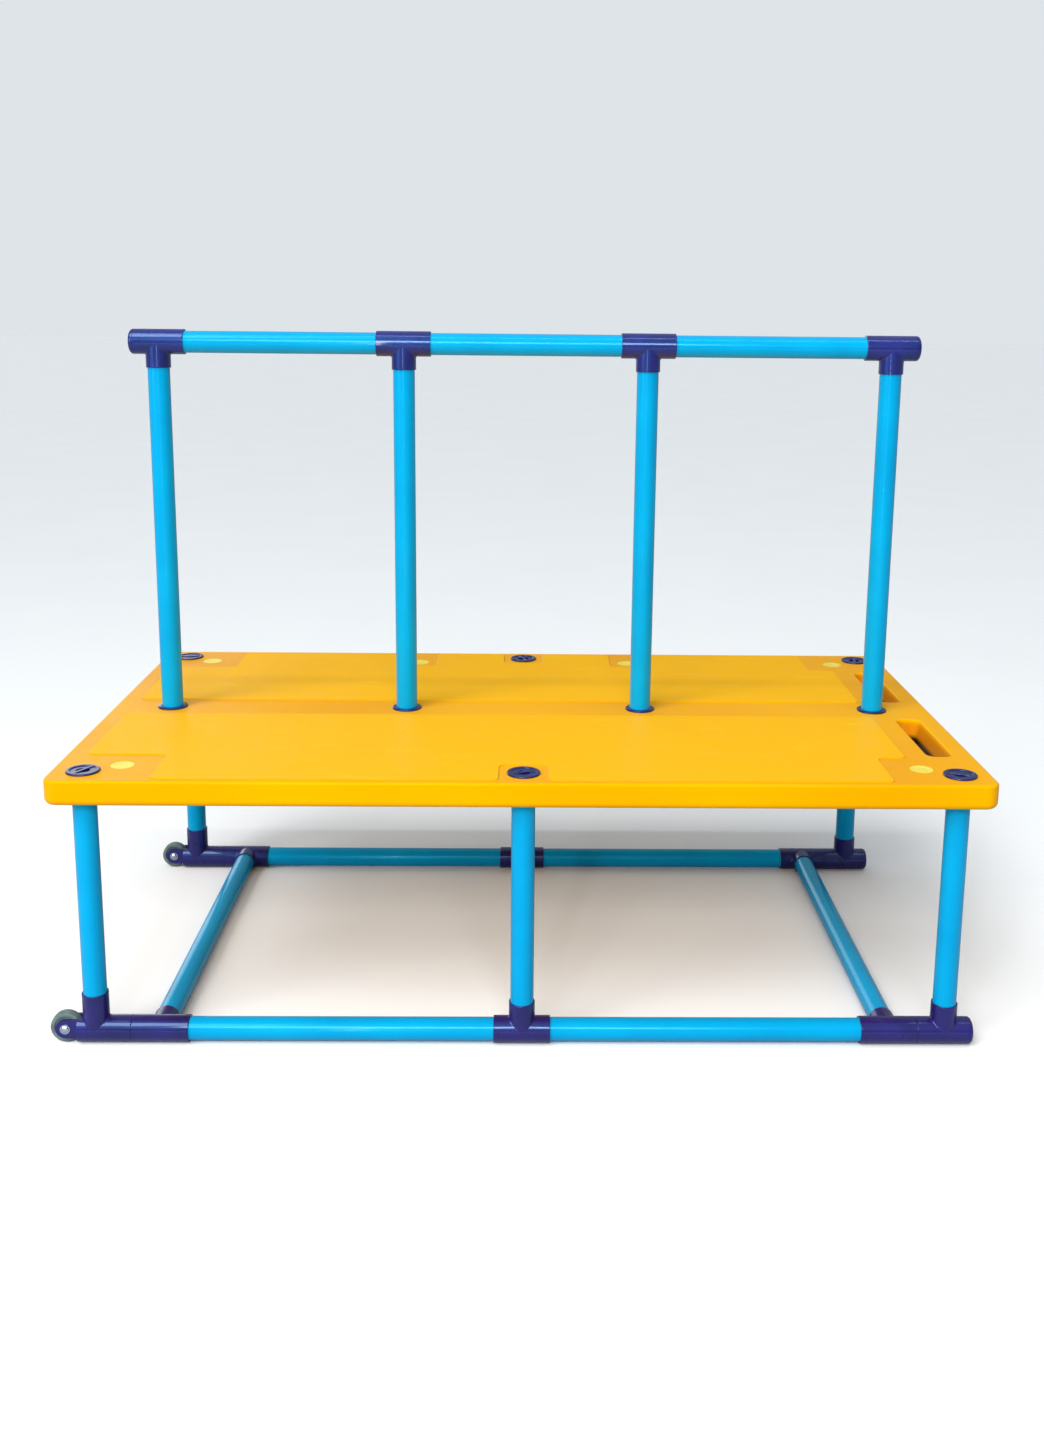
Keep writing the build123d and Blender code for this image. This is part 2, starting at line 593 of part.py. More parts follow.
with BuildPart() as axle_bolts:
    for y in SIDES.values():
        head_seat = y - CHEEK_FACE - WASHER_T
        shank_end = y + CHEEK_FACE + WASHER_T + NUT_HEIGHT
        with BuildSketch(Plane(origin=(AXLE_X, head_seat, AXLE_Z), z_dir=(0, 1, 0))):
            Circle(AXLE_R)
        extrude(amount=shank_end - head_seat)
        with BuildSketch(Plane(origin=(AXLE_X, head_seat, AXLE_Z), x_dir=(1, 0, 0), z_dir=(0, 0, 1))):
            with BuildLine():
                top = (0, -BOLT_HEAD_HEIGHT)
                rim = (BOLT_HEAD_R, 0)
                Line((0, 0), top)
                RadiusArc(top, rim, -BOLT_DOME_R)
                Line(rim, (0, 0))
            make_face()
        revolve(axis=Axis((AXLE_X, y, AXLE_Z), (0, 1, 0)))

axle_bolts.part.label = "axle_bolts"
export_step(axle_bolts.part, "parts/axle_bolts.step")

with BuildPart() as axle_washers:
    for y in SIDES.values():
        for start in (y - CHEEK_FACE - WASHER_T, y + CHEEK_FACE):
            with BuildSketch(Plane(origin=(AXLE_X, start, AXLE_Z), z_dir=(0, 1, 0))):
                Circle(WASHER_R)
                Circle(AXLE_R + AXLE_GAP, mode=Mode.SUBTRACT)
            extrude(amount=WASHER_T)

axle_washers.part.label = "axle_washers"
export_step(axle_washers.part, "parts/axle_washers.step")

with BuildPart() as axle_nuts:
    for y in SIDES.values():
        seat = y + CHEEK_FACE + WASHER_T
        with BuildSketch(Plane(origin=(AXLE_X, seat, AXLE_Z), z_dir=(0, 1, 0))):
            RegularPolygon(NUT_ACROSS_FLATS / 2, 6, major_radius=False)
        extrude(amount=NUT_HEIGHT)
        with Locations((AXLE_X, seat + NUT_HEIGHT, AXLE_Z)):
            Sphere(NUT_DOME_R)
        with BuildSketch(Plane(origin=(AXLE_X, seat, AXLE_Z), z_dir=(0, 1, 0))):
            Circle(AXLE_R + AXLE_GAP)
        extrude(amount=NUT_HEIGHT, mode=Mode.SUBTRACT)

axle_nuts.part.label = "axle_nuts"
export_step(axle_nuts.part, "parts/axle_nuts.step")


# ---------------------------------------------------------------- locking caps and leg inserts

LUG_TOP_Z = LEG_TOP_Z - INSERT_HEIGHT - TURN_GAP


def deck_cap(x, y, turn):
    """A cap with a finger dish, a grip bar and two lugs that lock under the leg insert."""
    flange_z = DECK_TOP_Z + FIT_GAP
    top_z = flange_z + CAP_RISE
    dish_z = top_z - CAP_DISH_DEPTH
    lug_z = LUG_TOP_Z - LUG_HEIGHT
    with BuildPart() as cap:
        with BuildSketch(Plane.XY.offset(flange_z)):
            with Locations((x, y)):
                Circle(CAP_R)
        extrude(amount=CAP_RISE)
        fillet(cap.faces().sort_by(Axis.Z)[-1].edges(), CAP_EDGE_R)
        with BuildSketch(Plane.XY.offset(lug_z)):
            with Locations((x, y)):
                Circle(CAP_SPIGOT_R)
        extrude(amount=flange_z - lug_z)
        with BuildSketch(Plane.XY.offset(top_z)):
            with Locations((x, y)):
                Circle(CAP_DISH_R)
        extrude(amount=-CAP_DISH_DEPTH, mode=Mode.SUBTRACT)
        with BuildSketch(Plane.XY.offset(dish_z)):
            with Locations((x, y)):
                Circle(CAP_POCKET_R)
            with Locations(Location((x, y), turn)):
                Rectangle(2 * CAP_POCKET_R, CAP_BAR, mode=Mode.SUBTRACT)
        extrude(amount=-CAP_POCKET_DEPTH, mode=Mode.SUBTRACT)
        with BuildSketch(Plane.XY.offset(dish_z)):
            with Locations(Location((x, y), turn)):
                Rectangle(2 * CAP_DISH_R - CAP_EDGE_R, CAP_BAR)
        extrude(amount=CAP_DISH_DEPTH)
        with BuildSketch(Plane.XY.offset(lug_z)):
            with Locations(Location((x, y), turn)):
                Rectangle(2 * LUG_REACH, LUG_WIDTH)
            with Locations((x, y)):
                Circle(LUG_REACH, mode=Mode.INTERSECT)
        extrude(amount=LUG_HEIGHT)
    return cap.part


for side, y in SIDES.items():
    for place, x in COLUMNS.items():
        turn = CAP_TURNS[f"{side}_{place}"]
        save(deck_cap(x, y, turn), f"cap_{side}_{place}")

with BuildPart() as leg_inserts:
    for side, y in SIDES.items():
        for place, x in COLUMNS.items():
            slot_turn = CAP_TURNS[f"{side}_{place}"] + 90
            with BuildSketch(Plane.XY.offset(LEG_TOP_Z)):
                with Locations((x, y)):
                    Circle(PIPE_BORE_R - INSERT_GAP)
                    Circle(CAP_HOLE_R, mode=Mode.SUBTRACT)
                with Locations(Location((x, y), slot_turn)):
                    Rectangle(2 * (LUG_REACH + TURN_GAP), LUG_WIDTH + 2 * TURN_GAP, mode=Mode.SUBTRACT)
            extrude(amount=-INSERT_HEIGHT)

leg_inserts.part.label = "leg_inserts"
export_step(leg_inserts.part, "parts/leg_inserts.step")


# ---------------------------------------------------------------- guard rail

LEDGE_Z = DECK_BOTTOM_Z - RAIL_SOCKET_DROP + RAIL_SOCKET_LEDGE


def rail_socket(x):
    """A flanged sleeve through the deck that holds one rail post on its inner ledge."""
    bottom_z = DECK_BOTTOM_Z - RAIL_SOCKET_DROP
    flange_z = DECK_TOP_Z + RAIL_SOCKET_BEAD
    with BuildPart() as socket:
        with BuildSketch(Plane.XY.offset(DECK_TOP_Z)):
            with Locations((x, 0)):
                Circle(RAIL_SOCKET_FLANGE_R)
        extrude(amount=RAIL_SOCKET_BEAD)
        fillet(socket.faces().sort_by(Axis.Z)[-1].edges(), RAIL_SOCKET_EDGE_R)
        with BuildSketch(Plane.XY.offset(bottom_z)):
            with Locations((x, 0)):
                Circle(RAIL_SOCKET_R)
        extrude(amount=DECK_TOP_Z - bottom_z)
        with BuildSketch(Plane.XY.offset(LEDGE_Z)):
            with Locations((x, 0)):
                Circle(RAIL_SOCKET_BORE_R)
        extrude(amount=flange_z - LEDGE_Z, mode=Mode.SUBTRACT)
        with BuildSketch(Plane.XY.offset(bottom_z)):
            with Locations((x, 0)):
                Circle(PASSAGE_R)
        extrude(amount=RAIL_SOCKET_LEDGE, mode=Mode.SUBTRACT)
    return socket.part


for number, x in enumerate(POST_X, start=1):
    save(rail_socket(x), f"rail_socket_{number}")
    post_top_z = RAIL_Z - RAIL_STEM_REACH + SOCKET_DEPTH
    save(pipe((x, 0, LEDGE_Z), (0, 0, 1), post_top_z - LEDGE_Z), f"rail_post_{number}")
    left = RAIL_RUN_REACH - (PLUG_FLANGE if number == 1 else 0)
    right = RAIL_RUN_REACH - (PLUG_FLANGE if number == len(POST_X) else 0)
    save(tee((x, 0, RAIL_Z), (0, 0, -1), left, right, RAIL_STEM_REACH), f"rail_tee_{number}")

for place, x_from, x_to in zip(("left", "middle", "right"), POST_X, POST_X[1:]):
    start = x_from + RAIL_RUN_REACH - SOCKET_DEPTH
    length = x_to - x_from - 2 * (RAIL_RUN_REACH - SOCKET_DEPTH)
    save(pipe((start, 0, RAIL_Z), (1, 0, 0), length), f"top_rail_{place}")

with BuildPart() as rail_end_plugs:
    for x, outwards in ((POST_X[0], -1), (POST_X[-1], 1)):
        mouth_x = x + outwards * (RAIL_RUN_REACH - PLUG_FLANGE)
        add(end_plug(Plane(origin=(mouth_x, 0, RAIL_Z), z_dir=(outwards, 0, 0))))

rail_end_plugs.part.label = "rail_end_plugs"
export_step(rail_end_plugs.part, "parts/rail_end_plugs.step")

with BuildPart() as socket_lock_rings:
    with BuildSketch(Plane.XY.offset(DECK_BOTTOM_Z)):
        with Locations(*POST_PLACES):
            Circle(RAIL_HOLE_R + LOCK_RING_WALL)
            Circle(RAIL_SOCKET_R + SOCKET_GAP, mode=Mode.SUBTRACT)
    extrude(amount=-LOCK_RING_HEIGHT)

socket_lock_rings.part.label = "socket_lock_rings"
export_step(socket_lock_rings.part, "parts/socket_lock_rings.step")
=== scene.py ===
# %% [markdown]
# # A swim teaching platform
#
# A yellow moulded deck stands on six blue pipe legs, over a base of the same pipe, and a
# guard rail of pipe is plugged into the deck along its middle. Navy fittings join the
# pipes. The imported model already holds every piece at its true size and place, so this
# lesson keeps those shapes and gives them their finishes. It makes again only the small
# turned and moulded pieces whose soft edges carry the look: the locking caps, the flush
# plugs, the rail sockets, the wheels and the axle bolts.
#
# The first cell loads the imported model. Each of its pieces, called a node, becomes an object in
# metres that already rides on its body.

# %% Load the frame
import json
import math

import bmesh
import bpy
import numpy as np
from mathutils import Matrix, Vector

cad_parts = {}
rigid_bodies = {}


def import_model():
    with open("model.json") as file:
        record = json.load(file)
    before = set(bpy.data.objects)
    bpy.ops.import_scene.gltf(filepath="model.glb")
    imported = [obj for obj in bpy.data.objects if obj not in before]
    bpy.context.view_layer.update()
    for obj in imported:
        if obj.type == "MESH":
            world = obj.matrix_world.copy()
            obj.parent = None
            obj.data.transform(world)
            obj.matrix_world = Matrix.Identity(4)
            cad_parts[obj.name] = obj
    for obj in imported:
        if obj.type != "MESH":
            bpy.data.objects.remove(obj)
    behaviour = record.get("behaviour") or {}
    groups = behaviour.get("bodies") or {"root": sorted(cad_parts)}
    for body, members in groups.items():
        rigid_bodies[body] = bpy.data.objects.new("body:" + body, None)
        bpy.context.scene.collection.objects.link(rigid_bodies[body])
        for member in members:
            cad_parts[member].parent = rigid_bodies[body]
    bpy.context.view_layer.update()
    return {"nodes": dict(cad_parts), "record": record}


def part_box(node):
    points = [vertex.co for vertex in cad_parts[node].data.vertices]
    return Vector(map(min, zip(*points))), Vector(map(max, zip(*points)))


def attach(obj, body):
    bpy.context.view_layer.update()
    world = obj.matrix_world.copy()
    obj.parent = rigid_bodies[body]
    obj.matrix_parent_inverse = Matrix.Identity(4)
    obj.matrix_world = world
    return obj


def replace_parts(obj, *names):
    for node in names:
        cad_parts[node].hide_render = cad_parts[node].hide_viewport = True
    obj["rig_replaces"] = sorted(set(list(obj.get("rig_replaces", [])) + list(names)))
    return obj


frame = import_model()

record = frame["record"]
slot_of = {part["node"]: part["material_slot"] for part in record["subparts"]}
body_of = {node: body for body, nodes in record["behaviour"]["bodies"].items() for node in nodes}

# %% [markdown]
# ## Where things are
#
# Places could be typed in as numbers, but then a change in the model would leave the new
# pieces behind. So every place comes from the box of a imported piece. A round piece is told
# by the middle of its box, its half width and its two ends. The top of the deck is the level
# of its smooth borders: its two standing fields rise a little above that.


# %% Measure a piece
def middle_and_size(node):
    """The middle of a node's box and its three side lengths, as arrays in metres."""
    low, high = (np.array(corner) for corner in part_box(node))
    return (low + high) / 2, high - low


FIELD_RISE = 0.002

deck_low, deck_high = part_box("deck_panel")
DECK_TOP = deck_high.z - FIELD_RISE
print("deck from", round(deck_low.z, 4), "to", round(DECK_TOP, 4), "m, fields", FIELD_RISE, "m higher")

# %% [markdown]
# ## Surfaces from grids
#
# All the new pieces are surfaces of two parameters. A grid of points has one row for each
# step along an outline and one column for each step round an axis. Neighbouring points make
# four-sided faces, and the last column joins the first. Where an outline starts or ends on
# the axis, its whole row falls on one point, and merging the doubles makes it a pole.
# Blender's Screw modifier could turn the round pieces, but a grid also takes shapes that
# change as they go round, such as a cap with a bar across its dish.

# %% The faces of a grid
MERGE_DISTANCE = 1e-6


def grid_faces(rows, columns):
    """Corner numbers of the faces between neighbouring rows, closed round the columns.

    The point in row i and column j has the number i x columns + j. A face has that corner,
    the next one in its row, and the two above them in the next row.
    """
    row = np.arange(rows - 1)[:, None]
    column = np.arange(columns)[None, :]
    following = (column + 1) % columns
    corners = (row * columns + column, row * columns + following,
               (row + 1) * columns + following, (row + 1) * columns + column)
    return np.stack(corners, axis=-1).reshape(-1, 4)


# %% A closed piece from its grids
def sealed(mesh):
    """Merge the doubled points of a mesh, turn its faces outwards and count its open edges."""
    shell = bmesh.new()
    shell.from_mesh(mesh)
    bmesh.ops.remove_doubles(shell, verts=shell.verts, dist=MERGE_DISTANCE)
    bmesh.ops.recalc_face_normals(shell, faces=shell.faces)
    open_edges = sum(1 for edge in shell.edges if not edge.is_manifold)
    shell.to_mesh(mesh)
    shell.free()
    return open_edges


def piece_from_grids(name, grids):
    """One object with a closed shell for each grid, its poles merged and its faces outwards."""
    points, faces, first = [], [], 0
    for grid in grids:
        rows, columns = grid.shape[:2]
        points.append(grid.reshape(-1, 3))
        faces.append(grid_faces(rows, columns) + first)
        first += rows * columns
    mesh = bpy.data.meshes.new(name)
    mesh.from_pydata(np.concatenate(points).tolist(), [], np.concatenate(faces).tolist())
    open_edges = sealed(mesh)
    mesh.shade_smooth()
    piece = bpy.data.objects.new(name, mesh)
    bpy.context.scene.collection.objects.link(piece)
    print(name, "faces:", len(mesh.polygons), "open edges:", open_edges)
    return piece


# %% [markdown]
# ## Outlines with soft corners
#
# A moulded or turned piece has no knife edges, and the thin bright lines in its gloss come
# from its rounded corners. A Bevel modifier rounds every edge alike. Here an outline is
# written as its few corners, each with its own softness, and each corner is replaced by a
# short curve that leaves one side and lands on the next.

# %% Soften an outline
CORNER_STEPS = 6
LARGEST_SHARE = 0.45
CRISP = 0.0004


def softened(corners, softness):
    """An outline whose inner corners are rounded.

    Round a corner C, with A and B at the distance softness along its two sides, the curve is
    A(1-t)^2 + 2Ct(1-t) + Bt^2 for t from 0 to 1. The distance is at most 0.45 of a side.
    """
    corners = np.asarray(corners, float)
    softness = np.broadcast_to(softness, len(corners))
    t = np.linspace(0, 1, CORNER_STEPS)[:, None]
    outline = [corners[:1]]
    for before, corner, after, reach in zip(corners, corners[1:], corners[2:], softness[1:]):
        to_before, to_after = before - corner, after - corner
        side_before, side_after = np.linalg.norm(to_before), np.linalg.norm(to_after)
        a = corner + to_before * min(reach / side_before, LARGEST_SHARE)
        b = corner + to_after * min(reach / side_after, LARGEST_SHARE)
        outline.append(a * (1 - t) ** 2 + 2 * corner * t * (1 - t) + b * t**2)
    outline.append(corners[-1:])
    return np.concatenate(outline)


# %% Turn an outline about an axis
ROUND_STEPS = 96


def turned(outline, centre, axis="z"):
    """Grid of an outline of (radius, height) rows turned about an axis through the centre.

    At angle a round the axis, a row (r, h) gives the point centre + r cos a, r sin a, h, with
    the three parts laid along the other two directions and the axis.
    """
    angle = np.linspace(0, 2 * np.pi, ROUND_STEPS, endpoint=False)[None, :]
    radius, height = outline[:, 0][:, None], outline[:, 1][:, None]
    across, up = radius * np.cos(angle), radius * np.sin(angle)
    along = np.broadcast_to(height, across.shape)
    order = {"z": (across, up, along), "y": (across, along, up)}[axis]
    return np.stack(order, axis=-1) + np.asarray(centre)


# %% [markdown]
# ## Standing in for a node
#
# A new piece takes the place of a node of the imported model. The node stays for collision but
# is hidden, and the new piece rides on the node's body, so that it moves with the right
# joint. All three facts come from the record, so one function says them for every piece.


# %% Stand in for a node
def fit_out(piece, node, *more_nodes):
    """Let a new piece stand for its nodes: it rides on their body and hides them."""
    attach(piece, body_of[node])
    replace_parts(piece, node, *more_nodes)


# %% [markdown]
# ## Locking caps
#
# Each leg is locked to the deck by a moulded cap that turns a quarter turn. Its top is a
# shallow dish with two finger pockets, and the bar between them is what the fingers twist.
# A turned outline can't hold the bar and the pockets, and cutting them out of a turned disc
# would leave sharp edges. So the top is a height worked out at every radius and angle, from
# soft steps that add and take away: one for the dish, one for the bar and one for the
# pockets.

# %% Soft steps
STEP_WIDTH = 0.0014


def soft_step(distance, width=STEP_WIDTH):
    """0 below -width/2, 1 above width/2, and an S curve 3t^2 - 2t^3 between them."""
    t = np.clip(distance / width + 0.5, 0, 1)
    return t * t * (3 - 2 * t)


print("soft step across its width:", soft_step(STEP_WIDTH * np.array([-0.5, -0.25, 0, 0.25, 0.5])))

# %% The top of a cap
CROWN_ROWS = 96
CAP_EDGE = 0.0024
DISH_RIM = 0.009
DISH_DEPTH = 0.002
DISH_STEP = 1.6 * STEP_WIDTH
POCKET_RADIUS = 0.014
POCKET_DEPTH = 0.010
BAR_HALF = 0.004


def cap_crown(radius, top, bar_angle):
    """Radii and heights of the rows from the middle of the dish out to the rounded rim.

    Height = top - dish depth x dish x (1 - bar) - pocket depth x pocket. The dish is 1 inside
    its rim, the pocket is 1 inside its radius but 0 on the bar, and the bar is 1 within its
    half width of a line through the middle.
    """
    r = np.linspace(0, radius - CAP_EDGE, CROWN_ROWS)[:, None]
    dish = soft_step(radius - DISH_RIM - r, DISH_STEP)
    bar = soft_step(BAR_HALF - r * np.abs(np.sin(bar_angle)))
    pocket = soft_step(POCKET_RADIUS - r) * (1 - bar)
    return r, top - DISH_DEPTH * dish * (1 - bar) - POCKET_DEPTH * pocket


# %% [markdown]
# ## The rim and the spigot of a cap
#
# The same rows carry on over a rounded rim, down the side and in under the flange, which
# lies a hair above the deck so that the cap can turn. Then they run down the spigot, and its
# last rows grow outwards into the two lugs that catch under the slots of the leg's insert.
# Two boxes joined to a cylinder would give lugs too, but one surface stays closed by itself.

# %% The rim, the flange, the spigot and the lugs
RIM_ROWS = 7
CAP_GAP = 0.0002
SPIGOT_RADIUS = 0.0173
LUG_RADIUS = 0.0204
LUG_HALF = 0.005
LUG_HEIGHT = 0.004
LUG_EDGE = 0.0003


def cap_rim(radius, top):
    """Rows round the rim: a quarter circle of radius e between the top and the side R.

    For t up to 90 degrees, r = R - e(1 - sin t) and z = top - e(1 - cos t).
    """
    bend = np.linspace(0, np.pi / 2, RIM_ROWS + 1)[1:, None]
    return radius - CAP_EDGE * (1 - np.sin(bend)), top - CAP_EDGE * (1 - np.cos(bend))


def cap_spigot(radius, bottom, bar_angle):
    """Rows of (radius, height) from the flange's edge down to the middle of the lower face.

    A lug's radius is the spigot's plus the lug's reach, within a half width of the bar's line.
    """
    flange, lug_top = DECK_TOP + CAP_GAP, bottom + LUG_HEIGHT
    lug = soft_step(LUG_HALF - SPIGOT_RADIUS * np.abs(np.sin(bar_angle)))
    lug_r = SPIGOT_RADIUS + (LUG_RADIUS - SPIGOT_RADIUS) * lug
    return [(radius, flange), (radius - CRISP, flange),
            (SPIGOT_RADIUS, flange), (SPIGOT_RADIUS, flange - CRISP), (SPIGOT_RADIUS, lug_top),
            (lug_r, lug_top), (lug_r, lug_top - LUG_EDGE),
            (lug_r, bottom + LUG_EDGE), (lug_r - LUG_EDGE, bottom), (0, bottom)]


# %% [markdown]
# ## Six caps, each at its own angle
#
# People leave each cap turned a little differently, and six grip bars in line would look
# printed. So each cap has its own angle. The angle turns the formula, not the object, because
# a finished piece stays at the origin, unturned.

# %% Make the caps
CAP_COLUMNS = 192
CAP_TURNS = {"front_left": 62, "front_middle": 20, "front_right": 155,
             "rear_left": 8, "rear_middle": 110, "rear_right": 80}


def cap_grid(node, turn):
    """Rows from the middle of the dish, over the rim and down the spigot, to the middle below.

    At angle a, a row's radius r and height z give the point centre + r cos a, r sin a, z.
    """
    centre, size = middle_and_size(node)
    radius, top = size[0] / 2, centre[2] + size[2] / 2
    angle = np.linspace(0, 2 * np.pi, CAP_COLUMNS, endpoint=False)[None, :]
    bar_angle = angle - math.radians(turn)
    stretches = [cap_crown(radius, top, bar_angle), cap_rim(radius, top),
                 *cap_spigot(radius, top - size[2], bar_angle)]
    spread = [np.broadcast_arrays(r, z, angle) for r, z in stretches]
    r, z, a = (np.concatenate(parts) for parts in zip(*spread))
    return np.stack([centre[0] + r * np.cos(a), centre[1] + r * np.sin(a), z], axis=-1)


for place, turn in CAP_TURNS.items():
    node = "cap_" + place
    fit_out(piece_from_grids("locking_cap_" + place, [cap_grid(node, turn)]), node)

# %% [markdown]
# ## Flush plugs
#
# Six light-yellow discs close the filling holes of the moulded deck. Each is a thin disc
# with a faint dish and a ring left by its mould, over a short hollow spigot. It is round all
# the way down, so one outline turned about its middle is enough. The six stay one object,
# because they are one node and nothing parts them.

# %% The outline of a plug
PLUG_RADIUS = 0.025
PLUG_DEPTH = 0.018
PLUG_HEAD = 0.005
PLUG_SPIGOT = 0.0188
PLUG_WALL = 0.003
PLUG_DISH = 0.0006
PLUG_DISH_RADIUS = 0.016
PLUG_RING_RADIUS = 0.0185
PLUG_SOFTNESS = 0.0006

dish_floor = DECK_TOP - PLUG_DISH
head_base = DECK_TOP - PLUG_HEAD
spigot_end = DECK_TOP - PLUG_DEPTH
plug_bore = PLUG_SPIGOT - PLUG_WALL
plug_outline = softened(
    [(0, dish_floor), (PLUG_DISH_RADIUS, dish_floor), (PLUG_RING_RADIUS, DECK_TOP),
     (PLUG_RADIUS, DECK_TOP), (PLUG_RADIUS, head_base), (PLUG_SPIGOT, head_base),
     (PLUG_SPIGOT, spigot_end), (plug_bore, spigot_end), (plug_bore, head_base), (0, head_base)],
    PLUG_SOFTNESS)
print("plug outline:", len(plug_outline), "points")

# %% Place and turn the plugs
plug_low, plug_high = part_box("deck_plugs")
corner_x = [plug_low.x + PLUG_RADIUS, plug_high.x - PLUG_RADIUS]
corner_y = [plug_low.y + PLUG_RADIUS, plug_high.y - PLUG_RADIUS]
inner_post_x = [middle_and_size(f"rail_post_{number}")[0][0] for number in (2, 3)]
plug_places = [(x, y, 0) for y in corner_y for x in corner_x]
plug_places += [(x, corner_y[1], 0) for x in inner_post_x]
plugs = piece_from_grids("flush_plugs", [turned(plug_outline, place) for place in plug_places])
fit_out(plugs, "deck_plugs")

# %% [markdown]
# ## Rail sockets
#
# A navy sleeve with a round collar holds each post of the guard rail. The collar is a fat
# bead, low at its outer edge and highest just outside the post, so that it catches a ring of
# light. A torus on a tube would give the bead, but it would meet the sleeve in a sharp seam.
# One outline turned about the post has no seam: it runs up the bore from the ledge that
# carries the post, over the bead, and back down the outside. Each corner has its softness.

# %% Turn the sockets
BORE_RADIUS = 0.0257
SLEEVE_RADIUS = 0.0295
LEDGE_RADIUS = 0.022
LEDGE = 0.0039
CREST_WIDTH = 0.003
BEAD_FALL = 0.0012
MOUTH_SOFTNESS = 0.0012
CREST_SOFTNESS = 0.0025
BEAD_SOFTNESS = 0.0038
FOOT_SOFTNESS = 0.0006
SLEEVE_SOFTNESS = 0.001


def socket_outline(node):
    """Closed outline of one socket, from its ledge's inner edge round to the same point."""
    centre, size = middle_and_size(node)
    collar, top, bottom = size[0] / 2, centre[2] + size[2] / 2, centre[2] - size[2] / 2
    ledge, start = bottom + LEDGE, (LEDGE_RADIUS, bottom + LEDGE / 2)
    corners, softness = zip(
        (start, 0), ((LEDGE_RADIUS, ledge), CRISP), ((BORE_RADIUS, ledge), CRISP),
        ((BORE_RADIUS, top), MOUTH_SOFTNESS), ((BORE_RADIUS + CREST_WIDTH, top), CREST_SOFTNESS),
        ((collar, top - BEAD_FALL), BEAD_SOFTNESS), ((collar, DECK_TOP), FOOT_SOFTNESS),
        ((SLEEVE_RADIUS, DECK_TOP), CRISP), ((SLEEVE_RADIUS, bottom), SLEEVE_SOFTNESS),
        ((LEDGE_RADIUS, bottom), FOOT_SOFTNESS), (start, 0))
    return softened(corners, softness)


for number in (1, 2, 3, 4):
    node = f"rail_socket_{number}"
    centre, size = middle_and_size(node)
    grid = turned(socket_outline(node), (centre[0], centre[1], 0))
    fit_out(piece_from_grids(f"rail_collar_{number}", [grid]), node)

# %% [markdown]
# ## Wheels
#
# Each wheel is a solid grey moulding. Its tread is a little crowned and two shallow grooves
# run round it, its shoulders are round, and each face has a ring-shaped hollow that leaves
# a thick rim and a hub. Loop cuts on a cylinder could do all of this by hand. Here half of
# the section is written down, its mirror image follows, and the whole is turned about the
# axle, so that both faces are sure to be alike.

# %% Turn the wheels
SHOULDER = 0.005
RIM_THICKNESS = 0.009
HUB_RADIUS = 0.012
HOLLOW_DEPTH = 0.003
HOLLOW_SLOPE = 0.001
FACE_SOFTNESS = 0.0012
BUSH_HOLE = 0.00705
GROOVE_AT = 0.0045
GROOVE_DEPTH = 0.0007
GROOVE_MOUTH_HALF = 0.0012
GROOVE_FLOOR_HALF = 0.0006
CROWN = 0.0005


def wheel_outline(radius, half_width):
    """Closed section of the wheel as (radius, distance along the axle) from the bush hole round."""
    hollow, rim, groove = half_width - HOLLOW_DEPTH, radius - RIM_THICKNESS, radius - GROOVE_DEPTH
    right = [(BUSH_HOLE, half_width), (HUB_RADIUS, half_width),
             (HUB_RADIUS + HOLLOW_SLOPE, hollow), (rim - HOLLOW_SLOPE, hollow),
             (rim, half_width), (radius - CROWN, half_width),
             (radius - CROWN / 2, GROOVE_AT + GROOVE_MOUTH_HALF),
             (groove, GROOVE_AT + GROOVE_FLOOR_HALF), (groove, GROOVE_AT - GROOVE_FLOOR_HALF),
             (radius, GROOVE_AT - GROOVE_MOUTH_HALF)]
    left = [(r, -h) for r, h in reversed(right)]
    right_softness = [CRISP] + [FACE_SOFTNESS] * 4 + [SHOULDER] + [CRISP] * 4
    softness = [0] + right_softness + right_softness[::-1] + [0]
    return softened([(BUSH_HOLE, 0)] + right + left + [(BUSH_HOLE, 0)], softness)


for side in ("front", "rear"):
    node = f"wheel_{side}"
    centre, size = middle_and_size(node)
    grid = turned(wheel_outline(size[0] / 2, size[1] / 2), centre, "y")
    fit_out(piece_from_grids(f"transport_wheel_{side}", [grid]), node)

# %% [markdown]
# ## Axle bolts
#
# A stainless bolt with a low domed head carries each wheel. The head sits on its washer with
# a thin straight edge, then rises as part of a sphere. A squashed half sphere would be too
# steep at its edge, so the dome is a true arc: at each radius, its height is that of the
# circle through the edge and the top. The two bolts point the same way and stay one object.

# %% Where the bolts are
bolt_low, bolt_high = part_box("axle_bolts")
washer_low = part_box("axle_washers")[0]
bolt_x, bolt_z = (bolt_low.x + bolt_high.x) / 2, (bolt_low.z + bolt_high.z) / 2
rear_y, front_y = middle_and_size("wheel_rear")[0][1], middle_and_size("wheel_front")[0][1]
seat_distance = front_y - washer_low.y
shank_reach = bolt_high.y - rear_y
print("axle at x", round(bolt_x, 4), "z", round(bolt_z, 4), "head seat", round(seat_distance, 4),
      "m before the wheel's middle")

# %% Turn the bolts
HEAD_RADIUS = 0.0085
HEAD_HEIGHT = 0.0045
HEAD_EDGE = 0.0009
SHANK_RADIUS = 0.004
DOME_ROWS = 24
BOLT_SOFTNESS = 0.0003


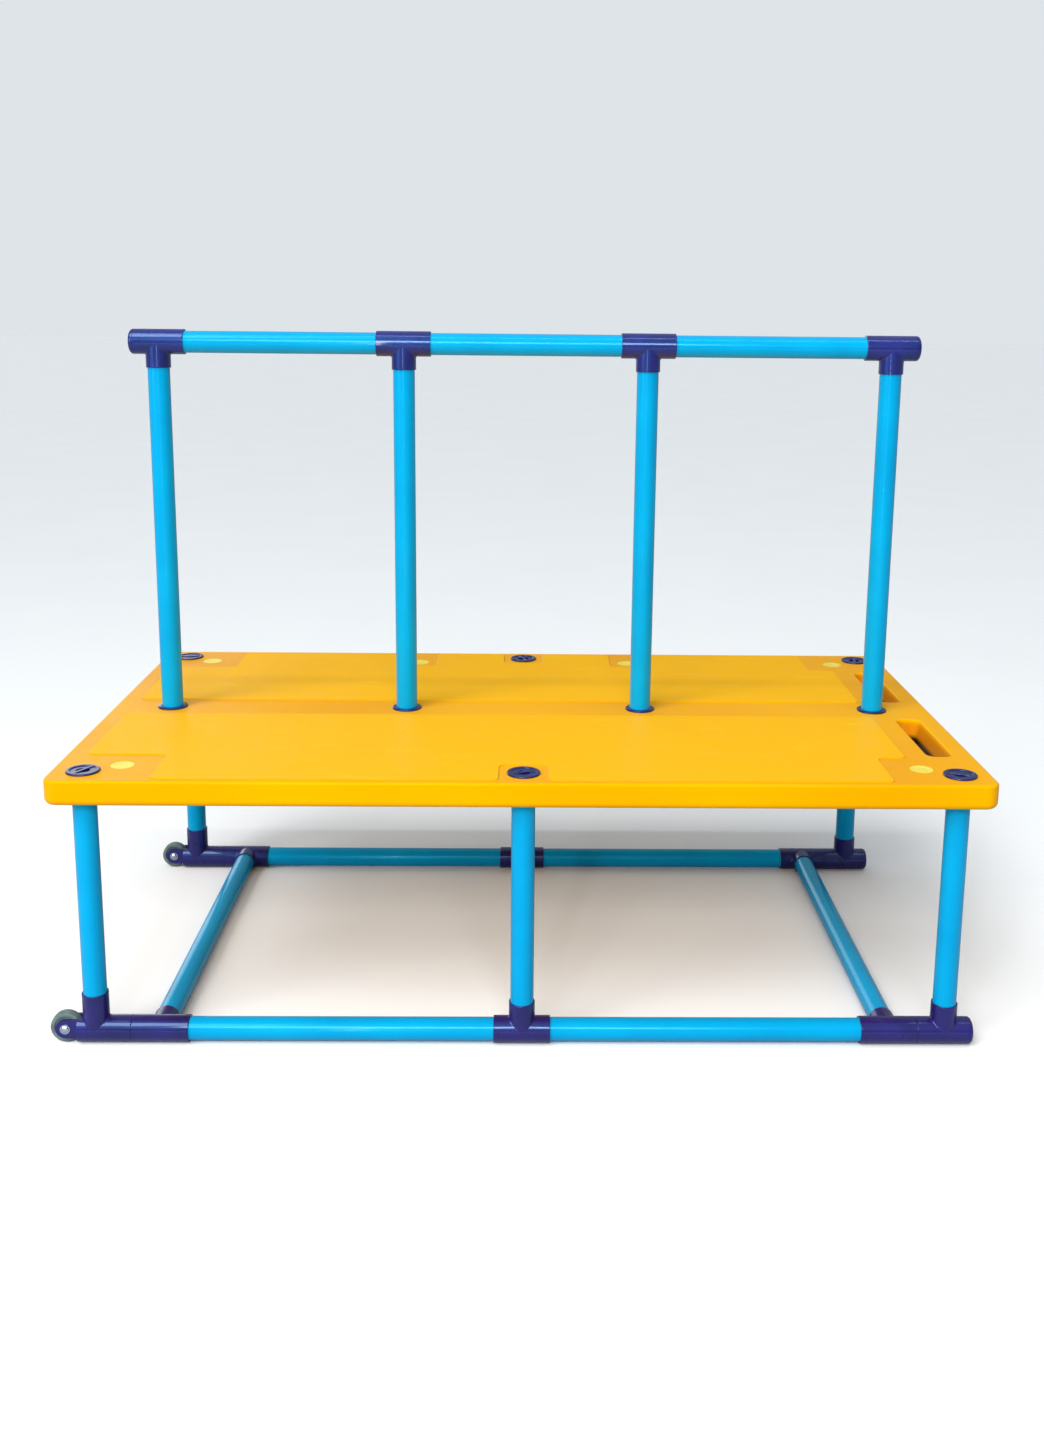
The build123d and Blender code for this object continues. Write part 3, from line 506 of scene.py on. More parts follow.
def bolt_outline(wheel_y):
    """Outline of a bolt, given its wheel's middle: dome, edge, shank and its end.

    A dome of rise h over an edge of radius e has the sphere radius R = (e^2 + h^2) / 2h, and
    its height at radius r is sqrt(R^2 - r^2) - R + h.
    """
    seat, end = wheel_y - seat_distance, wheel_y + shank_reach
    rise = HEAD_HEIGHT - HEAD_EDGE
    sphere = (HEAD_RADIUS**2 + rise**2) / (2 * rise)
    r = np.linspace(0, HEAD_RADIUS, DOME_ROWS)
    dome_height = np.sqrt(sphere**2 - r**2) - sphere + rise
    dome = np.stack([r, seat - HEAD_EDGE - dome_height], axis=-1)
    lower = softened([(HEAD_RADIUS, seat - HEAD_EDGE), (HEAD_RADIUS, seat),
                      (SHANK_RADIUS, seat), (SHANK_RADIUS, end), (0, end)], BOLT_SOFTNESS)
    return np.concatenate([dome, lower[1:]])


bolt_grids = [turned(bolt_outline(y), (bolt_x, 0, bolt_z), "y") for y in (front_y, rear_y)]
bolts = piece_from_grids("axle_bolt_pair", bolt_grids)
fit_out(bolts, "axle_bolts")

# %% [markdown]
# ## A short way to write materials
#
# Every finish here is a node tree. Such a tree can be drawn by hand in the shader editor or
# written down, and written it can be read from top to bottom. One helper makes a node, sets
# its options, and fills each input with either a number or another node's output. What is
# the same all over a finish, such as its coat, is set on the shader itself. All patterns
# read Object coordinates, which are metres on this object, so a scale of 500 means features
# of about 2 mm.


# %% Make a node and start a finish
def add(tree, kind, inputs=None, **options):
    """Make a node, set its options, and give each named input a value or a link."""
    made = tree.nodes.new("ShaderNode" + kind)
    for key, value in options.items():
        setattr(made, key, value)
    for key, value in (inputs or {}).items():
        if isinstance(value, bpy.types.NodeSocket):
            tree.links.new(value, made.inputs[key])
        else:
            made.inputs[key].default_value = value
    return made


def start_finish(name, **shader_values):
    """A new material with its shader's constants set: the material, its tree, shader and place."""
    material = bpy.data.materials.new(name)
    material.use_nodes = True
    tree = material.node_tree
    shader = tree.nodes["Principled BSDF"]
    for key, value in shader_values.items():
        shader.inputs[key.replace("_", " ")].default_value = value
    place = add(tree, "TexCoord").outputs["Object"]
    return material, tree, shader, place


def finished(material):
    """Say how many nodes a finish has taken, and pass the material on."""
    print(material.name, "nodes:", len(material.node_tree.nodes))
    return material


# %% Patterns and sums
def noise(tree, place, scale, detail=2.0, stretch=(1, 1, 1)):
    """Noise with features of about 1/scale metres, drawn out along an axis of small stretch."""
    laid = add(tree, "Mapping", {"Vector": place, "Scale": stretch}).outputs["Vector"]
    return add(tree, "TexNoise", {"Vector": laid, "Scale": scale, "Detail": detail}).outputs["Fac"]


def between(tree, value, low, high, to_low=0.0, to_high=1.0, smooth=False):
    """Carry a value's range low..high onto to_low..to_high, held at the ends."""
    kind = "SMOOTHSTEP" if smooth else "LINEAR"
    return add(tree, "MapRange", {"Value": value, "From Min": low, "From Max": high,
                                  "To Min": to_low, "To Max": to_high},
               interpolation_type=kind).outputs["Result"]


def maths(tree, operation, first, second=0.0):
    """One sum on two values."""
    return add(tree, "Math", {0: first, 1: second}, operation=operation).outputs["Value"]


def bump(tree, height, distance, before=None):
    """Turn a height from 0 to 1 into a bend of the surface, distance metres deep at most."""
    inputs = {"Height": height, "Distance": distance, "Strength": 1.0}
    if before is not None:
        inputs["Normal"] = before
    return add(tree, "Bump", inputs).outputs["Normal"]


# %% Colours
# A Mix node has sockets for numbers, vectors and colours, and these are its colour ones.
COLOUR_A, COLOUR_B, COLOUR_RESULT = 6, 7, 2
SRGB_KNEE, SRGB_SLOPE, SRGB_OFFSET, SRGB_POWER = 0.04045, 12.92, 0.055, 2.4


def mixed(tree, share, first, second):
    """First colour where share is 0, second where it is 1."""
    node = add(tree, "Mix", {"Factor": share}, data_type="RGBA")
    for number, colour in ((COLOUR_A, first), (COLOUR_B, second)):
        if isinstance(colour, bpy.types.NodeSocket):
            tree.links.new(colour, node.inputs[number])
        else:
            node.inputs[number].default_value = (*colour, 1)
    return node.outputs[COLOUR_RESULT]


def srgb(red, green, blue):
    """A screen colour of 0..255 steps as the linear light that shaders use.

    A share v of full brightness gives v / 12.92 up to the knee, and above it
    ((v + 0.055) / 1.055) to the power of 2.4.
    """
    value = np.array([red, green, blue]) / 255
    curve = ((value + SRGB_OFFSET) / (1 + SRGB_OFFSET)) ** SRGB_POWER
    return tuple(np.where(value <= SRGB_KNEE, value / SRGB_SLOPE, curve).tolist())


# %% [markdown]
# ## Deck yellow
#
# The deck is a hollow moulding of yellow polyethylene. Its two standing fields are pressed about 2 mm
# proud and carry a fine grain, so that wet feet hold. The borders, edges and the band along the middle
# are smooth and a shade deeper. The low step round each field is the darkest: partly dirt that stays
# in it, partly painted shade, because the step faces away from the light overhead. Feet leave pale
# scuffs on the fields only. Separate materials would need the fields cut out of the mesh. One material
# that asks how high a point lies above the borders needs no cuts.

# %% The colour of the deck
FIELD_YELLOW = srgb(242, 178, 0)
BORDER_YELLOW = srgb(239, 170, 0)
DEEP_YELLOW = srgb(233, 160, 0)
SCUFF_YELLOW = srgb(255, 208, 50)
# The step's yellow is partly dirt and partly painted shade, where the step faces away from the light
# overhead.
STEP_DIRT_AND_SHADE_YELLOW = srgb(222, 152, 4)
SCUFF_SHARE = 0.25


def at_rise(share):
    """The height where a field has risen by a share of its 2 mm."""
    return DECK_TOP + share * FIELD_RISE


def deck_colour(tree, place, height, on_field):
    """Border or field yellow by height, with scuffs on the fields and a step between that is darker
    with dirt and painted shade.
    """
    drift = between(tree, noise(tree, place, 2.2, detail=1), 0.35, 0.65)
    border = mixed(tree, drift, BORDER_YELLOW, DEEP_YELLOW)
    plain = mixed(tree, on_field, border, FIELD_YELLOW)
    long_scuffs = noise(tree, place, 9, detail=6, stretch=(1, 5, 1))
    scuffed = maths(tree, "MULTIPLY", between(tree, long_scuffs, 0.6, 0.74), on_field)
    scuffed = maths(tree, "MULTIPLY", scuffed, SCUFF_SHARE)
    colour = mixed(tree, scuffed, plain, SCUFF_YELLOW)
    # The step round a field is painted darker: dirt, and painted shade where it faces away from the
    # light.
    rising = between(tree, height, at_rise(0.05), at_rise(0.2))
    falling = between(tree, height, at_rise(0.9), at_rise(0.99), to_low=1, to_high=0)
    return mixed(tree, maths(tree, "MULTIPLY", rising, falling), colour, STEP_DIRT_AND_SHADE_YELLOW)


# %% [markdown]
# ## Painted shade in the carrying holes
#
# Two long holes at the right end of the deck take the fingers of a carrying hand. Their tapered walls
# are painted orange a little below the top, as painted shade where less light comes back, and painted
# dark far down, as the shadow deep in the hole. The shade could be painted by hand, but a formula
# needs no map: a point is in a hole where its distance from the hole's middle is under the hole's half
# size, less what the taper has taken at that depth. The holes' middles come from the record.

# %% Where the painted shade lies
HOLE_HALF = (0.0305, 0.1435)
HOLE_SLOPE = math.tan(math.radians(12))
# Painted shade: orange where the hole's walls get less light, and a dark painted shadow far down.
HOLE_SHADE_ORANGE = srgb(214, 132, 14)
HOLE_SHADOW_DARK = srgb(44, 26, 10)
ORANGE_FROM, ORANGE_FULL = 0.003, 0.012
DARK_FROM, DARK_FULL = 0.034, 0.044

openings = {opening["name"]: np.array(opening["box_m"]) for opening in record["physics"]["openings"]}
HOLE_MIDDLE = openings["rear_carrying_hole"].mean(axis=0)[:2].tolist()
print("carrying hole at x, y", [round(value, 4) for value in HOLE_MIDDLE])


def hole_share(tree, along, depth, height):
    """1 inside either carrying hole and 0 outside it.

    A point is inside where its distance from the hole's middle, plus its depth below the top
    times the slope of the wall, is under the hole's half size, both ways. The size of depth
    lets one hole stand for the front and the rear one.
    """
    narrower = maths(tree, "MULTIPLY", maths(tree, "SUBTRACT", DECK_TOP, height), HOLE_SLOPE)
    inside = []
    for value, middle, half in zip((along, maths(tree, "ABSOLUTE", depth)), HOLE_MIDDLE, HOLE_HALF):
        away = maths(tree, "ABSOLUTE", maths(tree, "SUBTRACT", value, middle))
        inside.append(maths(tree, "LESS_THAN", maths(tree, "ADD", away, narrower), half))
    return maths(tree, "MULTIPLY", *inside)


def with_painted_hole_shade(tree, colour, in_hole, height):
    """A colour painted orange, then dark, with depth inside the carrying holes, as painted shade."""
    # Painted shade: orange just below the top, then a painted shadow that is dark far down.
    for shade, start, full in ((HOLE_SHADE_ORANGE, ORANGE_FROM, ORANGE_FULL),
                               (HOLE_SHADOW_DARK, DARK_FROM, DARK_FULL)):
        below = between(tree, height, DECK_TOP - full, DECK_TOP - start, to_low=1, to_high=0)
        colour = mixed(tree, maths(tree, "MULTIPLY", in_hole, below), colour, shade)
    return colour


# %% [markdown]
# ## The surface of the deck
#
# Long shallow waves, which every large hollow moulding has, go under everything. On them
# lies the grain of the fields, rounded cells about 2 mm apart, and over all a fine skin that
# breaks up the gloss. Real grain would need millions of faces, so all three are bumps, from
# the largest to the smallest. A plain white gloss would grey the yellow, so the gloss is
# low and tinted like the plastic.

# %% Deck finish
DECK_GLOSS = (1.0, 0.70, 0.05, 1)
WAVE_DEPTH = 0.0022
GRAIN_DEPTH = 0.00022
SKIN_DEPTH = 0.00003
BORDER_ROUGHNESS, FIELD_ROUGHNESS = 0.36, 0.46


def deck_surface(tree, place, on_field):
    """Waves, then the grain where a point is on a field, then the skin."""
    grain = add(tree, "TexVoronoi", {"Vector": place, "Scale": 520.0, "Smoothness": 0.6},
                feature="SMOOTH_F1").outputs["Distance"]
    grain = maths(tree, "MULTIPLY", grain, on_field)
    waves = bump(tree, noise(tree, place, 5, detail=1), WAVE_DEPTH)
    grained = bump(tree, grain, GRAIN_DEPTH, waves)
    return bump(tree, noise(tree, place, 260), SKIN_DEPTH, grained)


def deck_finish():
    """Grained fields and smooth borders, told apart by height, with painted shade in the holes."""
    material, tree, shader, place = start_finish(
        "deck_polyethylene", IOR=1.5, Specular_IOR_Level=0.12, Specular_Tint=DECK_GLOSS)
    along, depth, height = add(tree, "SeparateXYZ", {0: place}).outputs
    on_field = between(tree, height, at_rise(0.2), at_rise(0.95), smooth=True)
    colour = deck_colour(tree, place, height, on_field)
    colour = with_painted_hole_shade(tree, colour, hole_share(tree, along, depth, height), height)
    tree.links.new(colour, shader.inputs["Base Color"])
    roughness = between(tree, on_field, 0, 1, BORDER_ROUGHNESS, FIELD_ROUGHNESS)
    patchy = between(tree, noise(tree, place, 30, detail=3), 0.3, 0.7, to_low=-0.04, to_high=0.05)
    tree.links.new(maths(tree, "ADD", roughness, patchy), shader.inputs["Roughness"])
    tree.links.new(deck_surface(tree, place, on_field), shader.inputs["Normal"])
    return material


deck_material = finished(deck_finish())

# %% [markdown]
# ## Plug yellow
#
# The plugs are a paler, unfilled plastic with a satin top and a few fine scratches from the
# tool that pressed them in. Scratches could be drawn one by one. Noise drawn out along one
# direction gives as many as are wanted, and faint mottling keeps the discs from looking
# like flat paint.

# %% Plug finish
PLUG_YELLOW = srgb(240, 222, 88)
PLUG_MOTTLE = srgb(232, 210, 68)
SCRATCH_DEPTH = 0.00004


def plug_finish():
    """Pale yellow with faint mottling, satin, lightly scratched."""
    material, tree, shader, place = start_finish("plug_plastic", IOR=1.48)
    mottle = between(tree, noise(tree, place, 70, detail=3), 0.35, 0.7)
    tree.links.new(mixed(tree, mottle, PLUG_YELLOW, PLUG_MOTTLE), shader.inputs["Base Color"])
    satin = between(tree, noise(tree, place, 160, detail=3), 0.3, 0.7, to_low=0.3, to_high=0.45)
    tree.links.new(satin, shader.inputs["Roughness"])
    scratches = noise(tree, place, 420, stretch=(0.12, 1, 1))
    tree.links.new(bump(tree, scratches, SCRATCH_DEPTH), shader.inputs["Normal"])
    return material


plug_material = finished(plug_finish())

# %% [markdown]
# ## Pipe blue
#
# The pipes are extruded: pushed hot through a round die, which leaves hair-fine lines along
# their length. The lines could be cut as grooves, but they are far finer than a face, so
# they are noise drawn out along the pipe, and each of the three pipe directions has its own
# copy of the finish. The lines change the gloss a little and the surface even less. A
# slower mottling keeps long pipes from looking printed. The gloss is tinted blue, because a
# white one would bleach the blue wherever the floor is mirrored in it.

# %% Pipe finish
PIPE_BLUE = srgb(0, 162, 214)
PIPE_DEEP = srgb(0, 151, 205)
PIPE_GLOSS = (0.12, 0.72, 1.0, 1)
DRAWN_OUT = 0.012
LINE_DEPTH = 0.000012
NICK_DEPTH = 0.00002


def pipe_finish(direction):
    """Glossy blue with fine lines along the direction x, y or z."""
    material, tree, shader, place = start_finish(
        "pipe_along_" + direction, IOR=1.5, Specular_Tint=PIPE_GLOSS,
        Coat_Weight=0.06, Coat_Roughness=0.06)
    stretch = tuple(DRAWN_OUT if axis == direction else 1.0 for axis in "xyz")
    lines = noise(tree, place, 700, stretch=stretch)
    broad_lines = maths(tree, "MULTIPLY", noise(tree, place, 60, stretch=stretch), 0.4)
    mottle = noise(tree, place, 7, detail=3)
    share = between(tree, maths(tree, "ADD", mottle, broad_lines), 0.5, 0.9)
    tree.links.new(mixed(tree, share, PIPE_BLUE, PIPE_DEEP), shader.inputs["Base Color"])
    gloss = between(tree, lines, 0.3, 0.7, to_low=0.17, to_high=0.27)
    tree.links.new(gloss, shader.inputs["Roughness"])
    drawn = bump(tree, lines, LINE_DEPTH)
    nicks = between(tree, noise(tree, place, 190, detail=5), 0.68, 0.74)
    tree.links.new(bump(tree, nicks, NICK_DEPTH, drawn), shader.inputs["Normal"])
    return material


pipe_materials = {direction: finished(pipe_finish(direction)) for direction in "xyz"}

# %% [markdown]
# ## Fitting navy
#
# The fittings are injection moulded in a dark violet blue, very glossy, with the slight
# orange peel of thick plastic. A steel mould opens along a flat plane and leaves a fine
# raised line there. The line could be modelled as a rib, but it is too fine to show as more
# than a glint, so it is a ridge in the bump, from the distance to that plane. Each family of
# fittings has its plane in one place: the leg tees at the depth of their pipes, the cross
# tees at the height of theirs, the rail tees at the middle. Taking the size of the
# coordinate first lets one plane serve the front and the rear row. The caps and sockets
# are round and have no such line.

# %% Fitting finish
FITTING_NAVY = srgb(36, 26, 110)
FITTING_DEEP = srgb(26, 19, 88)
FITTING_GLOSS = (0.06, 0.42, 1.0, 1)
PEEL_DEPTH = 0.00006
PARTING_DEPTH = 0.00015
PARTING_HALF = 0.0003


def fitting_finish(name, axis=None, offset=0.0, sheen=0.8, tones=(FITTING_NAVY, FITTING_DEEP)):
    """Glossy navy, with a parting line where the size of a coordinate equals the offset."""
    material, tree, shader, place = start_finish(
        name, IOR=1.54, Specular_IOR_Level=sheen, Specular_Tint=FITTING_GLOSS,
        Coat_Weight=0.6, Coat_Roughness=0.05)
    cloud = between(tree, noise(tree, place, 12, detail=3), 0.35, 0.65)
    tree.links.new(mixed(tree, cloud, *tones), shader.inputs["Base Color"])
    gloss = between(tree, noise(tree, place, 45, detail=4), 0.3, 0.7, to_low=0.26, to_high=0.36)
    tree.links.new(gloss, shader.inputs["Roughness"])
    surface = bump(tree, noise(tree, place, 150, detail=1), PEEL_DEPTH)
    if axis:
        coordinate = maths(tree, "ABSOLUTE", add(tree, "SeparateXYZ", {0: place}).outputs[axis])
        away = maths(tree, "ABSOLUTE", maths(tree, "SUBTRACT", coordinate, offset))
        ridge = between(tree, away, 0, PARTING_HALF, to_low=1, to_high=0, smooth=True)
        surface = bump(tree, ridge, PARTING_DEPTH, surface)
    tree.links.new(surface, shader.inputs["Normal"])
    return material


# %% [markdown]
# ## One finish for each family of fittings
#
# The fittings of the base lie in the deck's shade, so their tones are painted darker and more violet
# as painted shade, and they are less glossy than those of the rail. The turned caps and sockets are
# painted a little darker all over, also as painted shade. Four copies of one finish, with their own
# tones and their own parting plane, are easier to follow than one finish that works out where it is.

# %% The four families
# Painted shade: darker, more violet tones for the base fittings, and darker tones for the turned caps
# and sockets.
BASE_SHADED_LOOK = {"sheen": 0.6, "tones": (srgb(42, 22, 100), srgb(31, 16, 80))}
TURNED_SHADED_LOOK = {"sheen": 0.4, "tones": (srgb(30, 26, 92), srgb(20, 18, 72))}

leg_y = abs(middle_and_size("leg_front_left")[0][1])
base_z = middle_and_size("base_tube_front_left")[0][2]
fitting_materials = {
    "leg": finished(fitting_finish("fitting_parted_at_the_leg_row", "Y", leg_y, **BASE_SHADED_LOOK)),
    "cross": finished(fitting_finish("fitting_parted_at_the_base_height", "Z", base_z, **BASE_SHADED_LOOK)),
    "rail": finished(fitting_finish("fitting_parted_at_the_middle", "Y", 0.0)),
    "turned": finished(fitting_finish("fitting_without_a_line", **TURNED_SHADED_LOOK)),
}

# %% [markdown]
# ## Wheel grey
#
# The wheels are a flat grey-green plastic that picks up dirt on every side as it rolls. A
# dirt map could be painted, but one cloud of noise does for both colour and gloss: where the
# wheel is dirtier it is darker and rougher too. Under it lie a fine pebble and wider dents.

# %% Wheel finish
WHEEL_GREY = srgb(104, 122, 120)
WHEEL_DIRT = srgb(78, 92, 90)
PEBBLE_DEPTH = 0.00008
DENT_DEPTH = 0.0002


def wheel_finish():
    """Matt grey-green with a fine pebble and cloudy dirt."""
    material, tree, shader, place = start_finish("wheel_plastic", IOR=1.5)
    dirt = between(tree, noise(tree, place, 55, detail=5), 0.4, 0.68)
    tree.links.new(mixed(tree, dirt, WHEEL_GREY, WHEEL_DIRT), shader.inputs["Base Color"])
    tree.links.new(between(tree, dirt, 0, 1, to_low=0.5, to_high=0.7), shader.inputs["Roughness"])
    pebble = bump(tree, noise(tree, place, 900), PEBBLE_DEPTH)
    dented = bump(tree, noise(tree, place, 120, detail=3), DENT_DEPTH, pebble)
    tree.links.new(dented, shader.inputs["Normal"])
    return material


wheel_material = finished(wheel_finish())

# %% [markdown]
# ## Bush white
#
# The bush in each wheel is plain white acetal, a waxy plastic that slides well without oil.
# Little of it shows, so it gets the same kind of finish as the wheel, cleaner and smoother.

# %% Bush finish
BUSH_WHITE = srgb(236, 235, 228)
BUSH_GRIME = srgb(205, 203, 192)
WAXY_DEPTH = 0.00003


def bush_finish():
    """White acetal, waxy, with a little grime."""
    material, tree, shader, place = start_finish("bush_acetal", IOR=1.48)
    grime = between(tree, noise(tree, place, 200, detail=4), 0.45, 0.7)
    tree.links.new(mixed(tree, grime, BUSH_WHITE, BUSH_GRIME), shader.inputs["Base Color"])
    tree.links.new(between(tree, grime, 0, 1, to_low=0.35, to_high=0.5), shader.inputs["Roughness"])
    tree.links.new(bump(tree, noise(tree, place, 500), WAXY_DEPTH), shader.inputs["Normal"])
    return material


bush_material = finished(bush_finish())

# %% [markdown]
# ## Steel
#
# Bolts, washers and nuts are stainless steel, with rings left by the lathe and faint water
# stains. Rings could be grooves in the mesh, but they are far too fine. A wave texture draws
# them as waves of the distance from an axis, once a Mapping node has moved the axle there.

# %% Steel finish
STEEL_BRIGHT = srgb(212, 220, 232)
STEEL_STAIN = srgb(176, 186, 200)
RING_DEPTH = 0.00001


def steel_finish():
    """Stainless steel with turning rings about the axle and faint water stains."""
    material, tree, shader, place = start_finish("stainless_steel", Metallic=1.0)
    stains = between(tree, noise(tree, place, 260, detail=4), 0.4, 0.7)
    tree.links.new(mixed(tree, stains, STEEL_BRIGHT, STEEL_STAIN), shader.inputs["Base Color"])
    tree.links.new(between(tree, stains, 0, 1, to_low=0.16, to_high=0.34), shader.inputs["Roughness"])
    to_axle = {"Vector": place, "Location": (-bolt_x, 0, -bolt_z)}
    centred = add(tree, "Mapping", to_axle).outputs["Vector"]
    rings = add(tree, "TexWave", {"Vector": centred, "Scale": 700.0, "Distortion": 0.6},
                wave_type="RINGS", rings_direction="Y").outputs["Fac"]
    tree.links.new(bump(tree, rings, RING_DEPTH), shader.inputs["Normal"])
    return material


steel_material = finished(steel_finish())

# %% [markdown]
# ## Giving each piece its finish
#
# The record says which material slot each node belongs to. A pipe also needs its direction,
# which is the longest side of its box, and a fitting needs its family, which its name tells.
# Assigning by hand would have to be done again after every change in the model.

# %% Choose a finish
FAMILY_OF = {"cross_tee": "cross", "rail_tee": "rail", "rail_end": "rail", "middle_tee": "leg",
             "end_tee": "leg", "wheel_tee": "leg", "base_end": "leg"}
FINISH_OF_SLOT = {"deck_yellow": deck_material, "plug_yellow": plug_material,
                  "wheel_grey": wheel_material, "bush_white": bush_material,
                  "stainless": steel_material}


def pipe_direction(node):
    """The longest side of a pipe's box. The short joining nipples share one node and lie along x."""
    if node == "joining_nipples":
        return "x"
    return "xyz"[int(np.argmax(middle_and_size(node)[1]))]


def finish_for(node):
    """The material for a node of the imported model."""
    slot = slot_of[node]
    if slot == "pipe_blue":
        return pipe_materials[pipe_direction(node)]
    if slot == "fitting_navy":
        family = next((f for start, f in FAMILY_OF.items() if node.startswith(start)), "turned")
        return fitting_materials[family]
    return FINISH_OF_SLOT[slot]


# %% Give every piece its finish
def paint(piece, material):
    """Put one material into every slot of a piece, making a slot where it has none."""
    if not piece.material_slots:
        piece.data.materials.append(material)
    for slot in piece.material_slots:
        slot.material = material


for node, piece in frame["nodes"].items():
    paint(piece, finish_for(node))
new_pieces = [piece for piece in bpy.data.objects if "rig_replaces" in piece]
for piece in new_pieces:
    paint(piece, finish_for(list(piece["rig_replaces"])[0]))
print("finished:", len(frame["nodes"]), "nodes and", len(new_pieces), "new pieces")

# %% [markdown]
# ## The studio floor
#
# The platform stands in a plain studio on a pale matt floor, so wide that its edge is lost
# in the distance. A floor this pale would throw much light up under the deck and wash out
# the dark fittings. A smaller floor would show its edge. So the floor is pale to the camera
# and darker to light that bounces off it.

# %% Floor
FLOOR_HALF = 60.0
FLOOR_PALE = (0.99, 0.99, 0.99)
FLOOR_FAINT = (0.97, 0.97, 0.97)
FLOOR_TO_BOUNCES = (0.42, 0.44, 0.46)


def floor_finish():
    """Pale, matt and faintly uneven, and darker where it only throws light back at the object."""
    material, tree, shader, place = start_finish("studio_floor", Roughness=0.9)
    uneven = between(tree, noise(tree, place, 1.5, detail=3), 0.3, 0.7)
    pale = mixed(tree, uneven, FLOOR_PALE, FLOOR_FAINT)
    seen = add(tree, "LightPath").outputs["Is Camera Ray"]
    tree.links.new(mixed(tree, seen, FLOOR_TO_BOUNCES, pale), shader.inputs["Base Color"])
    return finished(material)


floor_corners = [(-1, -1), (1, -1), (1, 1), (-1, 1)]
floor_mesh = bpy.data.meshes.new("studio_floor")
floor_mesh.from_pydata([(x * FLOOR_HALF, y * FLOOR_HALF, 0) for x, y in floor_corners],
                       [], [(0, 1, 2, 3)])
floor = bpy.data.objects.new("studio_floor", floor_mesh)
bpy.context.scene.collection.objects.link(floor)
floor.data.materials.append(floor_finish())

# %% [markdown]
# ## The surround
#
# Every glossy pipe mirrors what stands round it. A surround of one tone would make the pipes
# look flat, so this one grows brighter from the horizon to overhead: the tops of the pipes
# shine and the far sides of the dark fittings stay dark. The camera sees another, even tone
# in its place, matched to the lit floor so that no horizon shows.

# %% Surround
HORIZON_LIGHT = 0.20
ZENITH_LIGHT = 0.55
NEARLY_OVERHEAD = 0.9
SURROUND_COLOUR = (0.84, 0.93, 1.0, 1)
BACKDROP = srgb(222, 228, 232)

world = bpy.data.worlds.new("studio_surround")
bpy.context.scene.world = world
world.use_nodes = True
sky = world.node_tree
background = sky.nodes["Background"]
background.inputs["Color"].default_value = SURROUND_COLOUR
upward = add(sky, "SeparateXYZ", {0: add(sky, "TexCoord").outputs["Generated"]}).outputs["Z"]
strength = between(sky, upward, 0.0, NEARLY_OVERHEAD, HORIZON_LIGHT, ZENITH_LIGHT)
sky.links.new(strength, background.inputs["Strength"])
backdrop = add(sky, "Background", {"Color": (*BACKDROP, 1)})
by_eye = add(sky, "LightPath").outputs["Is Camera Ray"]
chosen = add(sky, "MixShader", {0: by_eye, 1: background.outputs[0], 2: backdrop.outputs[0]})
sky.links.new(chosen.outputs[0], sky.nodes["World Output"].inputs["Surface"])
print("surround from", HORIZON_LIGHT, "at the horizon to", ZENITH_LIGHT, "overhead")

# %% [markdown]
# ## Lamps
#
# A pipe shows a lamp as a bright line along it, as wide as the lamp is. So long narrow lamps
# above and in front draw thin lines, a large soft lamp at the front left makes the left
# sides of the posts bright, and a wide one over the camera fills the front. Area lamps fade
# with distance and would leave a pool of light on the floor, so most of the light on floor
# and deck comes from a broad sun, which is the same everywhere. A weaker sun from the rear
# left keeps the back from going black. All of them point at the middle of the object.

# %% Rectangular lamps
AIM = Vector((0, 0, 0.6))
LAMPS = {
    "large_lamp_front_left": {"place": (-4.6, -3.8, 2.4), "size": (2.2, 2.2), "power": 90},
    "soft_box_over_the_camera": {"place": (-0.4, -5.0, 3.4), "size": (3.2, 1.2), "power": 165},
    "strip_above": {"place": (0, -0.8, 4.4), "size": (5.0, 0.14), "power": 26},
    "strip_low_in_front": {"place": (0.2, -4.6, 0.12), "size": (5.0, 0.10), "power": 5},
    "upright_strip_in_front": {"place": (-0.9, -5.2, 1.7), "size": (0.12, 3.0), "power": 22},
}


def point_at_object(name, light, place):
    """Put a light at a place and turn it to shine at the aim."""
    holder = bpy.data.objects.new(name, light)
    holder.location = place
    holder.rotation_euler = (AIM - Vector(place)).to_track_quat("-Z", "Y").to_euler()
    bpy.context.scene.collection.objects.link(holder)
    print(name, "at", place, "energy", light.energy)


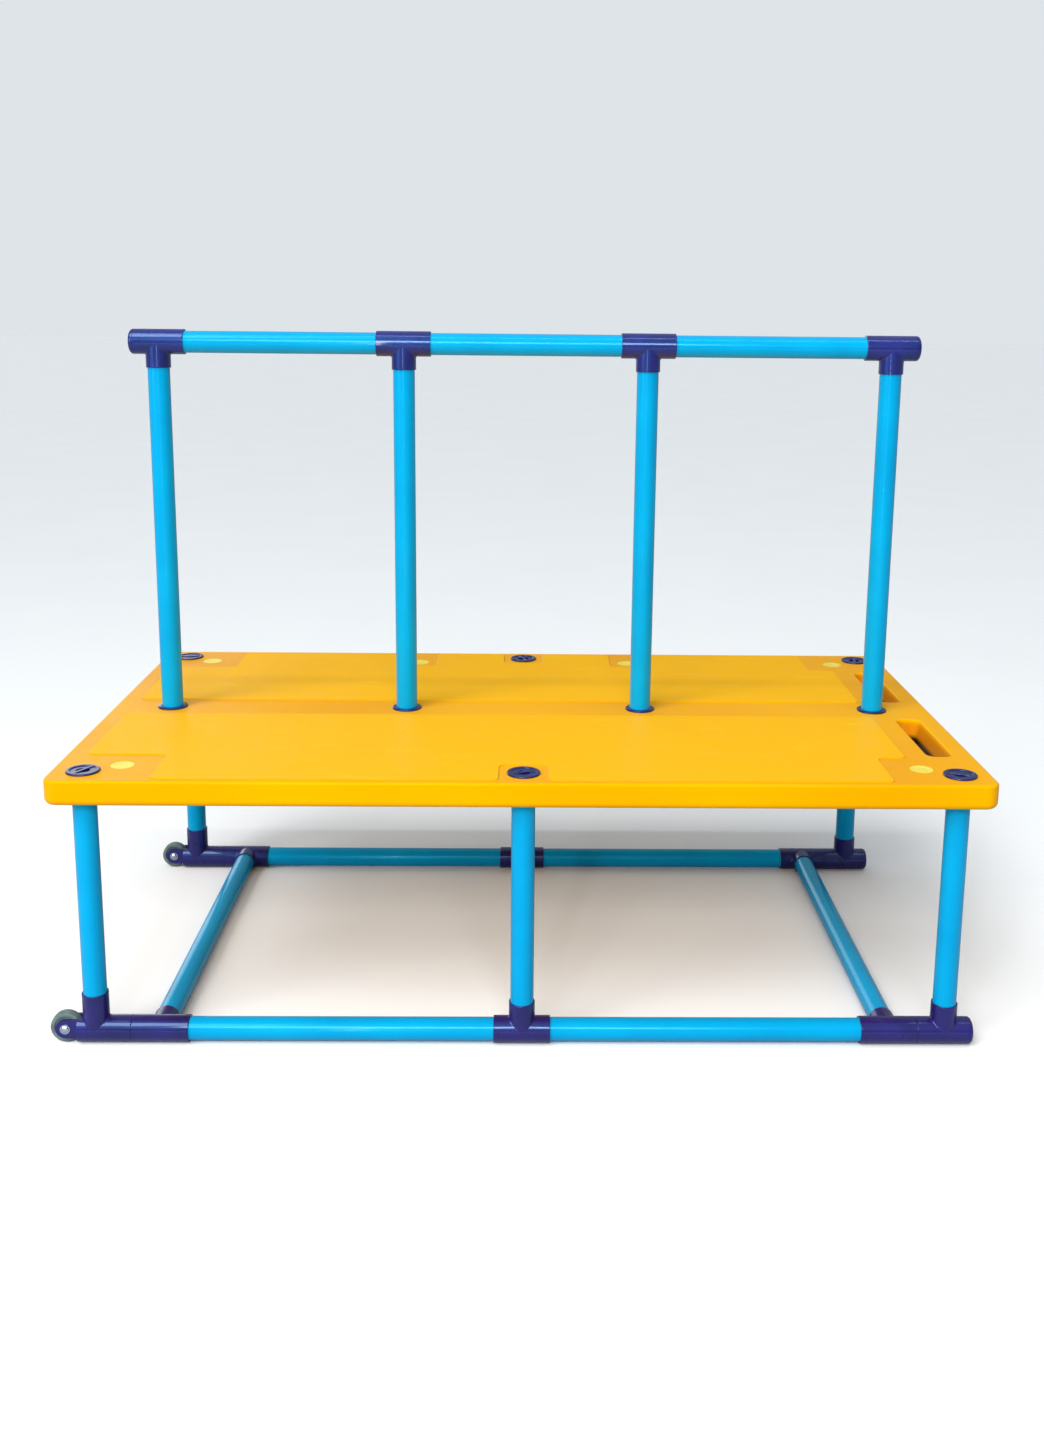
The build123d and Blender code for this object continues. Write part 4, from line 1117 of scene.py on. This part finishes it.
def lamp(name, place, size, power):
    """A rectangular lamp of the given width and height at a place, shining at the aim."""
    light = bpy.data.lights.new(name, "AREA")
    light.shape = "RECTANGLE"
    light.size, light.size_y = size
    light.energy = power
    point_at_object(name, light, place)


for name, facts in LAMPS.items():
    lamp(name, **facts)


# %% Even light
def even_light(name, place, energy, spread):
    """Light from the direction of a place, the same everywhere, spread over an angle in degrees."""
    light = bpy.data.lights.new(name, "SUN")
    light.energy = energy
    light.angle = math.radians(spread)
    point_at_object(name, light, place)


even_light("even_light", (-4.0, -5.0, 8.2), energy=1.5, spread=30)
even_light("fill_from_behind", (-3.0, 5.0, 1.0), energy=0.55, spread=40)

# %% [markdown]
# ## The camera
#
# The camera stands in front, a little above the rail, and looks slightly down. It is turned
# by three angles: yaw about the vertical, pitch below the horizon and a small roll. Its aim
# isn't at the middle of the view. Tilting it further would make the upright pipes lean
# together, so the lens is shifted instead, in shares of the view's longer side. The colours
# go to the screen without a film curve, so that a strong blue or yellow stays as strong as
# it is.

# %% Camera
CAMERA_PLACE = Vector((0.0044, -3.3074, 1.5936))
YAW, PITCH, ROLL = 0.0151, -0.1939, 0.0101
SENSOR = 36.0
LENS = 34.9385
SHIFT_RIGHT, SHIFT_UP = -0.013352, -0.097775

ahead = Vector((math.sin(YAW) * math.cos(PITCH), math.cos(YAW) * math.cos(PITCH), math.sin(PITCH)))
level = Vector((math.cos(YAW), -math.sin(YAW), 0))
above = level.cross(ahead)
right = level * math.cos(ROLL) + above * math.sin(ROLL)
up = above * math.cos(ROLL) - level * math.sin(ROLL)

camera_data = bpy.data.cameras.new("camera")
camera_data.sensor_width = SENSOR
camera_data.lens = LENS
camera_data.shift_x = SHIFT_RIGHT
camera_data.shift_y = SHIFT_UP
camera = bpy.data.objects.new("camera", camera_data)
facing = Matrix((right, up, -ahead)).transposed().to_4x4()
camera.matrix_world = Matrix.Translation(CAMERA_PLACE) @ facing
bpy.context.scene.collection.objects.link(camera)
bpy.context.scene.camera = camera
bpy.context.scene.view_settings.view_transform = "Standard"
print("camera", LENS, "mm, pitch", round(math.degrees(PITCH), 1), "degrees")
